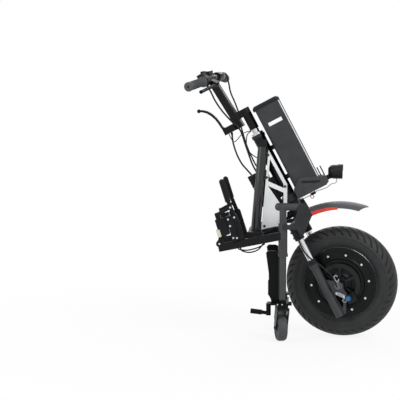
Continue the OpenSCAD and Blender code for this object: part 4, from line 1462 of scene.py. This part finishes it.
@dataclass
class Fasteners(SubAssembly):
    """Bolts, rib rings and beads, each stamped on marks. Sizes in millimetres."""

    bolts: BoltHeads = field(default_factory=lambda: BoltHeads("bolt_heads"))
    ribs: RibRings = field(default_factory=lambda: RibRings("rib_rings"))
    beads: Beads = field(default_factory=lambda: Beads("beads"))
    bracket_bolt_r: float = 4.2
    clamp_pin_r: float = 4.4
    pinch_bolt_r: float = 4.6
    arm_bolt_r: float = 4.0
    foot_bolt_r: float = 3.0
    head_share: float = 0.75
    bracket_face: float = 22.0
    bracket_bolts: tuple[Spot, ...] = ((7, -50), (20, -54), (9, -4), (9, 22))
    lever_pins: tuple[Point, ...] = ((33, 15.3, 22), (30, 21.5, 62))
    jaw_pin: Point = (-50, 15.0, -56)
    stem_bolts: tuple[Point, ...] = ((-27, -16, 727), (-27, -16, 740))
    bar_bolts: tuple[Point, ...] = ((-16, -14, 903), (-16, 14, 903))
    crown_bolts: tuple[Point, ...] = ((-39, 85, 220), (-39, 85, 243))
    arm_bolts: tuple[Point, ...] = ((9, -88, -38), (29, -88, -61))
    foot_bolts: tuple[Point, ...] = ((-246, 172, 144.5), (-229, 172, 144.5))
    grip_start: float = 109.7
    grip_r: float = 15.5
    rib_pitch: float = 4.0
    rib_count: int = 23
    rib_r: float = 1.1
    ridge_start: Point = (42, 56.8, 721.5)
    ridge_pitch: float = 8.2
    ridge_count: int = 10
    ridge_size: Point = (8.0, 3.4, 3.0)
    upright_y: float = 48.0
    upright_ends: tuple[Spot, ...] = ((-331, 412.4), (-305, 731.6))
    weld_r: float = 18.8
    weld_count: int = 30
    weld_size: Point = (5.2, 5.0, 2.6)
    arm_weld_start: Spot = (-355, 134.6)
    arm_weld_pitch: float = 3.7
    arm_weld_count: int = 14
    arm_rear: Spot = (-470, 368)
    arm_slope: float = 0.1975
    beam_top: float = 380.0

    @staticmethod
    def mark(station: Station, place: Point, facing: Point, along: Point = (0, 0, 1)) -> Mark:
        """A mark given in a local frame."""
        return Mark(station.at(*place), station.way(*facing), station.way(*along))

    def sideways(self, station: Station, places: tuple[Point, ...], side: int) -> list[Mark]:
        """Marks on one side that face outward, from places given for the left side."""
        return [self.mark(station, (x, side * y, z), (0, side, 0)) for x, y, z in places]

    def stamp(
        self,
        name: str,
        tree: StampTree,
        marks: list[Mark],
        sizes: dict[str, float],
        finish: Finish,
        body: str,
        slot: str,
        sharp: float,
    ) -> None:
        """Stamps a tree's shape on marks and makes one piece of it.

        Args:
            name: Name of the piece.
            tree: The tree of the shape.
            marks: Where the shapes sit.
            sizes: The tree's inputs in millimetres.
            finish: Their finish.
            body: The body they ride on.
            slot: The record's slot, passed on to the workshop, which does not use it.
            sharp: Angle in degrees above which an edge stays sharp.
        """
        inputs = {key: size * MM for key, size in sizes.items()}
        made = tree.make(mark_mesh(marks), inputs | {"Material": self.shop.material(finish)})
        smooth(made, sharp)
        self.shop.piece(name, made, finish, body, slot)

    def put_bolts(self, name: str, body: str, marks: list[Mark], radius: float, finish: Finish) -> None:
        """Stamps bolt heads of one size.

        Args:
            name: Name of the piece.
            body: The body it rides on.
            marks: Where they sit.
            radius: Radius of a head in millimetres.
            finish: Their finish.
        """
        sizes = {"Head Radius": radius, "Head Height": radius * self.head_share}
        self.stamp(name, self.bolts, marks, sizes, finish, body, "bright_metal", 32)

    def put_beads(
        self, name: str, body: str, marks: list[Mark], size: Point, finish: Finish, slot: str
    ) -> None:
        """Stamps beads of one size.

        Args:
            name: Name of the piece.
            body: The body it rides on.
            marks: Where they sit.
            size: Length, width and height in millimetres.
            finish: Their finish.
            slot: The record's slot, passed on to the workshop, which does not use it.
        """
        sizes = dict(zip(("Length", "Width", "Height"), size))
        self.stamp(name, self.beads, marks, sizes, finish, body, slot, 60)

    def frame_bolts(self) -> None:
        """Bolts on the docking brackets."""
        marks = []
        places = tuple((x, self.bracket_face, z) for x, z in self.bracket_bolts)
        for side in (RIGHT, LEFT):
            marks += self.sideways(self.stations.dock(side), places, side)
        self.put_bolts("frame_bolts", "frame", marks, self.bracket_bolt_r, BRIGHT_STEEL)

    def clamp_bolts(self) -> None:
        """Pin heads on the clamp levers and jaws."""
        for side, word in SIDES:
            dock = self.stations.dock(side)
            for kind, places in (("lever", self.lever_pins), ("jaw", (self.jaw_pin,))):
                pins = self.sideways(dock, places, side)
                name = f"{word}_{kind}_bolts"
                self.put_bolts(name, f"{word}_clamp_{kind}", pins, self.clamp_pin_r, BRIGHT_STEEL)

    def steering_bolts(self) -> None:
        """Pinch bolts of the stem, the bar clamp and the fork crown."""
        steered = self.stations.steered
        marks = [self.mark(steered, place, (0, -1, 0)) for place in self.stem_bolts]
        marks += [self.mark(steered, place, (1, 0, 0)) for place in self.bar_bolts]
        for side in (RIGHT, LEFT):
            marks += [self.mark(steered, (x, side * y, z), (-1, 0, 0)) for x, y, z in self.crown_bolts]
        self.put_bolts("steering_bolts", "steering", marks, self.pinch_bolt_r, BOLT_DARK)

    def fork_bolts(self) -> None:
        """Bolts of the caliper arm."""
        marks = [self.mark(self.stations.steered, place, (0, -1, 0)) for place in self.arm_bolts]
        self.put_bolts("caliper_bolts", "fork_lowers", marks, self.arm_bolt_r, BRIGHT_STEEL)

    def stand_bolts(self) -> None:
        """Bolts in the edge of each stand's foot plate."""
        for side, word in SIDES:
            marks = self.sideways(self.stations.home, self.foot_bolts, side)
            self.put_bolts(f"{word}_stand_bolts", f"{word}_stand", marks, self.foot_bolt_r, BRIGHT_STEEL)

    def grip_ribs(self) -> None:
        """Rib rings along both grips."""
        sizes = {"Ring Radius": self.grip_r, "Rib Radius": self.rib_r}
        heights = [self.grip_start + i * self.rib_pitch for i in range(self.rib_count)]
        for side, name, body in ((RIGHT, "throttle_ribs", "throttle"), (LEFT, "left_grip_ribs", "steering")):
            bar = self.stations.bar(side)
            marks = [self.mark(bar, (0, 0, z), (0, 0, 1), (1, 0, 0)) for z in heights]
            self.stamp(name, self.ribs, marks, sizes, GRIP_RUBBER, body, "grip_rubber", 70)

    def cap_ridges(self) -> None:
        """Short ridges round the top edge of the battery cap."""
        start, y, z = self.ridge_start
        marks = []
        for i in range(self.ridge_count):
            place = (start + i * self.ridge_pitch, y, z)
            for side in (RIGHT, LEFT):
                marks += self.sideways(self.stations.raked, (place,), side)
        self.put_beads("cap_ridges", "battery", marks, self.ridge_size, TRIM_BLACK, "trim_plastic")

    def frame_welds(self) -> None:
        """Weld beads round the ends of the uprights and where the beam meets the arms."""
        home = self.stations.home
        start, y = self.arm_weld_start
        marks = []
        for side in (RIGHT, LEFT):
            for x, z in self.upright_ends:
                for i in range(self.weld_count):
                    angle = 2 * math.pi * i / self.weld_count
                    across = self.weld_r * math.sin(angle)
                    spot = (x + self.weld_r * math.cos(angle), side * self.upright_y + across, z)
                    marks.append(self.mark(home, spot, (0, 0, 1), (-math.sin(angle), math.cos(angle), 0)))
            for i in range(self.arm_weld_count):
                x = start + i * self.arm_weld_pitch
                arm_line = self.arm_rear[1] + (x - self.arm_rear[0]) * self.arm_slope
                for z in (arm_line, self.beam_top):
                    marks.append(self.mark(home, (x, side * y, z), (0, side, 0), (1, 0, 0)))
        self.put_beads("frame_welds", "frame", marks, self.weld_size, SATIN_BLACK, "black_metal")

    def build(self) -> None:
        """Makes every fastener and pattern."""
        self.frame_bolts()
        self.clamp_bolts()
        self.steering_bolts()
        self.fork_bolts()
        self.stand_bolts()
        self.grip_ribs()
        self.cap_ridges()
        self.frame_welds()


@dataclass
class BatteryTrim(SubAssembly):
    """Blank plate of the battery, and light silver tubes along its front edges that are painted highlights of its
    rounded corners. Sizes in millimetres, raked frame.
    """

    plate_low: Point = (55.0, -56.8, 640.0)
    plate_high: Point = (111.0, -55.8, 654.0)
    plate_edge: float = 0.3
    edge_highlight_place: Spot = (130.3, 54.2)
    edge_highlight_z: Spot = (372.0, 714.0)
    edge_highlight_r: float = 2.1

    def build(self) -> None:
        """Makes the pieces."""
        raked = self.stations.raked
        plate = Shape().block(raked, self.plate_low, self.plate_high, self.plate_edge)
        self.solid("blank_plate", plate, PLATE_WHITE, "battery", "case_plastic")
        # Painted highlight: light silver tubes on both front edges of the battery stand in for the shine on its
        # rounded corners.
        x, y = self.edge_highlight_place
        trim = Shape()
        for side in (RIGHT, LEFT):
            trim.tube([raked.at(x, side * y, z) for z in self.edge_highlight_z], self.edge_highlight_r * MM)
        self.solid("case_edge_highlights", trim, PANEL_SILVER, "battery", "case_plastic")


@dataclass
class ForkTrim(SubAssembly):
    """Mudguard strip, caliper arm, axle caps and torque loop.

    Sizes are in millimetres, the strip's in the wheel's frame and the others in the steered frame.
    """

    strip_r: float = 295.4
    strip_wide: Spot = (16.0, 9.0)
    strip_turn: Spot = (86.0, 64.0)
    strip_z: Spot = (-49.4, -46.0)
    strip_lean: float = 1.0
    strip_steps: int = 18
    arm_outline: tuple[Spot, ...] = ((3, -33), (12, -30), (35, -58), (33, -66), (24, -66), (5, -43))
    arm_y: Spot = (-88.0, -83.0)
    arm_eye: Point = (24, -83, -75)
    eye_ring: tuple[Spot, ...] = ((5.5, 0), (8.5, 0), (8.5, 3.5), (5.5, 3.5))
    cap_place: Point = (27.47, 97.2, -14.36)
    cap_dome: tuple[Spot, ...] = (
        (0, 11.5), (5, 11), (9, 8.5), (10.5, 5), (10.5, 0), (7.1, 0), (7.1, 8), (0, 8)
    )
    tab_outline: tuple[Spot, ...] = ((22, -12), (32, -16), (45, 6), (36, 9))
    tab_y: Spot = (-108.6, -104.6)
    loop_place: Point = (40, -108, 17)
    loop_r: float = 6.6
    loop_reach: float = 10.0
    loop_wire_r: float = 2.0
    loop_steps: int = 48

    def build(self) -> None:
        """Makes the pieces."""
        self._strip()
        steered = self.stations.steered
        arm = Shape().plate(steered, self.arm_outline, *self.arm_y, 1.0)
        arm.turned(steered.moved(*self.arm_eye).turned(90, "X"), self.eye_ring, 28)
        self.solid("caliper_arm", arm, BRUSHED_STEEL, "fork_lowers", "brake_body")
        self._axle_end()

    def _strip(self) -> None:
        """Makes the red strip along the near lower edge of the mudguard."""
        near, far = self.strip_z
        start, end = self.strip_turn
        wide, narrow = self.strip_wide
        high = self.strip_r
        rings = []
        for i in range(self.strip_steps + 1):
            share = i / self.strip_steps
            angle = -math.radians(start + (end - start) * share)
            low = high - wide + (wide - narrow) * share
            corners = ((low, near), (high, near + self.strip_lean), (high, far), (low, far))
            rings.append([(r * math.cos(angle), r * math.sin(angle), z) for r, z in corners])
        strip = Shape().skin(self.stations.wheel, rings)
        self.solid("mudguard_strip", strip, STRIP_RED, "steering", "guard_plastic")

    def _axle_end(self) -> None:
        """Makes the domed axle caps, the dark tab and the light oblong torque loop."""
        steered = self.stations.steered
        x, y, z = self.cap_place
        caps = Shape()
        for side in (RIGHT, LEFT):
            caps.turned(steered.moved(x, side * y, z).turned(-90 * side, "X"), self.cap_dome, 28)
        caps.plate(steered, self.tab_outline, *self.tab_y, 0.5)
        self.solid("axle_caps", caps, CALIPER_GREY, "fork_lowers", "bright_metal")
        top = steered.moved(*self.loop_place)
        route = []
        for i in range(self.loop_steps + 1):
            angle = 2 * math.pi * i / self.loop_steps
            lift = math.copysign(self.loop_reach / 2, math.sin(angle))
            route.append(top.at(self.loop_r * math.cos(angle), 0, self.loop_r * math.sin(angle) + lift))
        loop = Shape().tube(route, self.loop_wire_r * MM, 10)
        self.solid("torque_loop", loop, TRIM_SILVER, "fork_lowers", "bright_metal")


@dataclass
class BarTrim(SubAssembly):
    """Display glass and cable ferrules on the bar. Sizes in millimetres, frame of the bar's right half."""

    display_place: Point = (-2, 27, 15.2)
    display_tilt: float = 25.0
    glass_low: Point = (-16, 6.6, 3)
    glass_high: Point = (16, 8.0, 27)
    barrel: tuple[Spot, ...] = ((0, 0), (4.6, 0), (4.6, 9), (3.6, 10), (3.6, 16), (0, 16))

    def build(self) -> None:
        """Makes the pieces."""
        face = self.stations.bar(RIGHT).moved(*self.display_place).turned(-self.display_tilt, "Z")
        glass = Shape().block(face, self.glass_low, self.glass_high, 0.5)
        self.solid("display_glass", glass, SCREEN_GLASS, "steering", "trim_plastic")
        home = self.stations.home
        ends = Shape()
        for cord in (THROTTLE_CABLE, BRAKE_CABLE, LEVER_CABLE):
            tip = Vector(cord.route[-1])
            back = Vector(cord.route[-2]) - tip
            seat = Station.on_axis(home.at(*tip), home.way(*back), Vector((0.3, 1, 0.2)))
            ends.turned(seat, self.barrel, 20)
        self.solid("cable_ferrules", ends, BOLT_DARK, "steering", "black_alloy")


@dataclass
class FrameTrim(SubAssembly):
    """Lamp hood, wire plug, red wire, a near-black plate in the tray's recess that is painted shade, and jaw pads.

    Sizes are in millimetres, the painted shade plate's in the raked frame, the pads' in the clamps' frames and the
    others in the frame of the wheel's axle.
    """

    lamp_z: float = 635.0
    hood_r: Spot = (27.2, 29.0)
    hood_back: float = -16.0
    hood_half_angle: float = 80.0
    hood_steps: int = 24
    plug_place: Point = (-111, -8, 552)
    plug_tilt: float = 28.0
    plug_half: Point = (11, 5, 5)
    recess_shade_outline: tuple[Spot, ...] = ((67, 402), (131, 371), (128, 364.5), (64, 395.5))
    recess_shade_y: Spot = (-62.4, -58.6)
    wire_r: float = 1.6
    wire_route: tuple[Point, ...] = (
        (-112, -8, 547),
        (-108, -8, 540),
        (-110, -8, 534),
        (-116, -8, 533),
        (-122, -8, 540),
        (-122, -8, 546),
    )
    pad_low: Point = (-47, -19, -33)
    pad_high: Point = (-33, 19, -4)
    pad_edge: float = 2.4

    def build(self) -> None:
        """Makes the pieces."""
        home = self.stations.home
        self._hood()
        x, y, z = self.plug_half
        seat = home.moved(*self.plug_place).turned(-self.plug_tilt, "Y")
        plug = Shape().block(seat, (-x, -y, -z), (x, y, z), 1.4)
        self.solid("wire_plug", plug, TRIM_BLACK, "frame", "trim_plastic")
        # Painted shade: a near-black plate laid in the tray's shallow recess darkens it.
        slot = Shape().plate(self.stations.raked, self.recess_shade_outline, *self.recess_shade_y, 0.4)
        self.solid("tray_recess_shade", slot, CABLE_BLACK, "frame", "tray_plastic")
        loop = Shape().tube([home.at(*point) for point in self.wire_route], self.wire_r * MM, 10)
        self.solid("red_wire", loop, WIRE_RED, "frame", "cable_sheath")
        for side, word in SIDES:
            pad = Shape().block(self.stations.dock(side), self.pad_low, self.pad_high, self.pad_edge)
            self.solid(f"{word}_jaw_pad", pad, PAD_CREAM, f"{word}_clamp_jaw", "grip_rubber")

    def _hood(self) -> None:
        """Makes the short hood over the lamp's front."""
        low, high = self.hood_r
        rings = []
        for i in range(self.hood_steps + 1):
            angle = math.radians(self.hood_half_angle * (2 * i / self.hood_steps - 1))
            reach = 2.0 * math.cos(angle) + 0.6
            corners = ((low, self.hood_back), (low, reach), (high, reach), (high, self.hood_back))
            rings.append([(x, r * math.sin(angle), self.lamp_z + r * math.cos(angle)) for r, x in corners])
        hood = Shape().skin(self.stations.home, rings)
        self.solid("lamp_hood", hood, TRIM_BLACK, "frame", "trim_plastic")


def main() -> None:
    """Builds the studio, the finishes and every piece."""
    logging.basicConfig(level=logging.INFO, format="%(name)s: %(message)s")
    Studio().build()
    stations = Stations(frame["joints"])
    shop = Workshop(frame["nodes"])
    for cord in CORDS:
        cord.build(shop, stations.home)
    shop.dress(frame["record"]["subparts"])
    for group in (Wheel, Fasteners, BatteryTrim, ForkTrim, BarTrim, FrameTrim):
        group(shop, stations).build()
    log.info("%d pieces", len(shop.made))


if __name__ == "__main__":
    main()
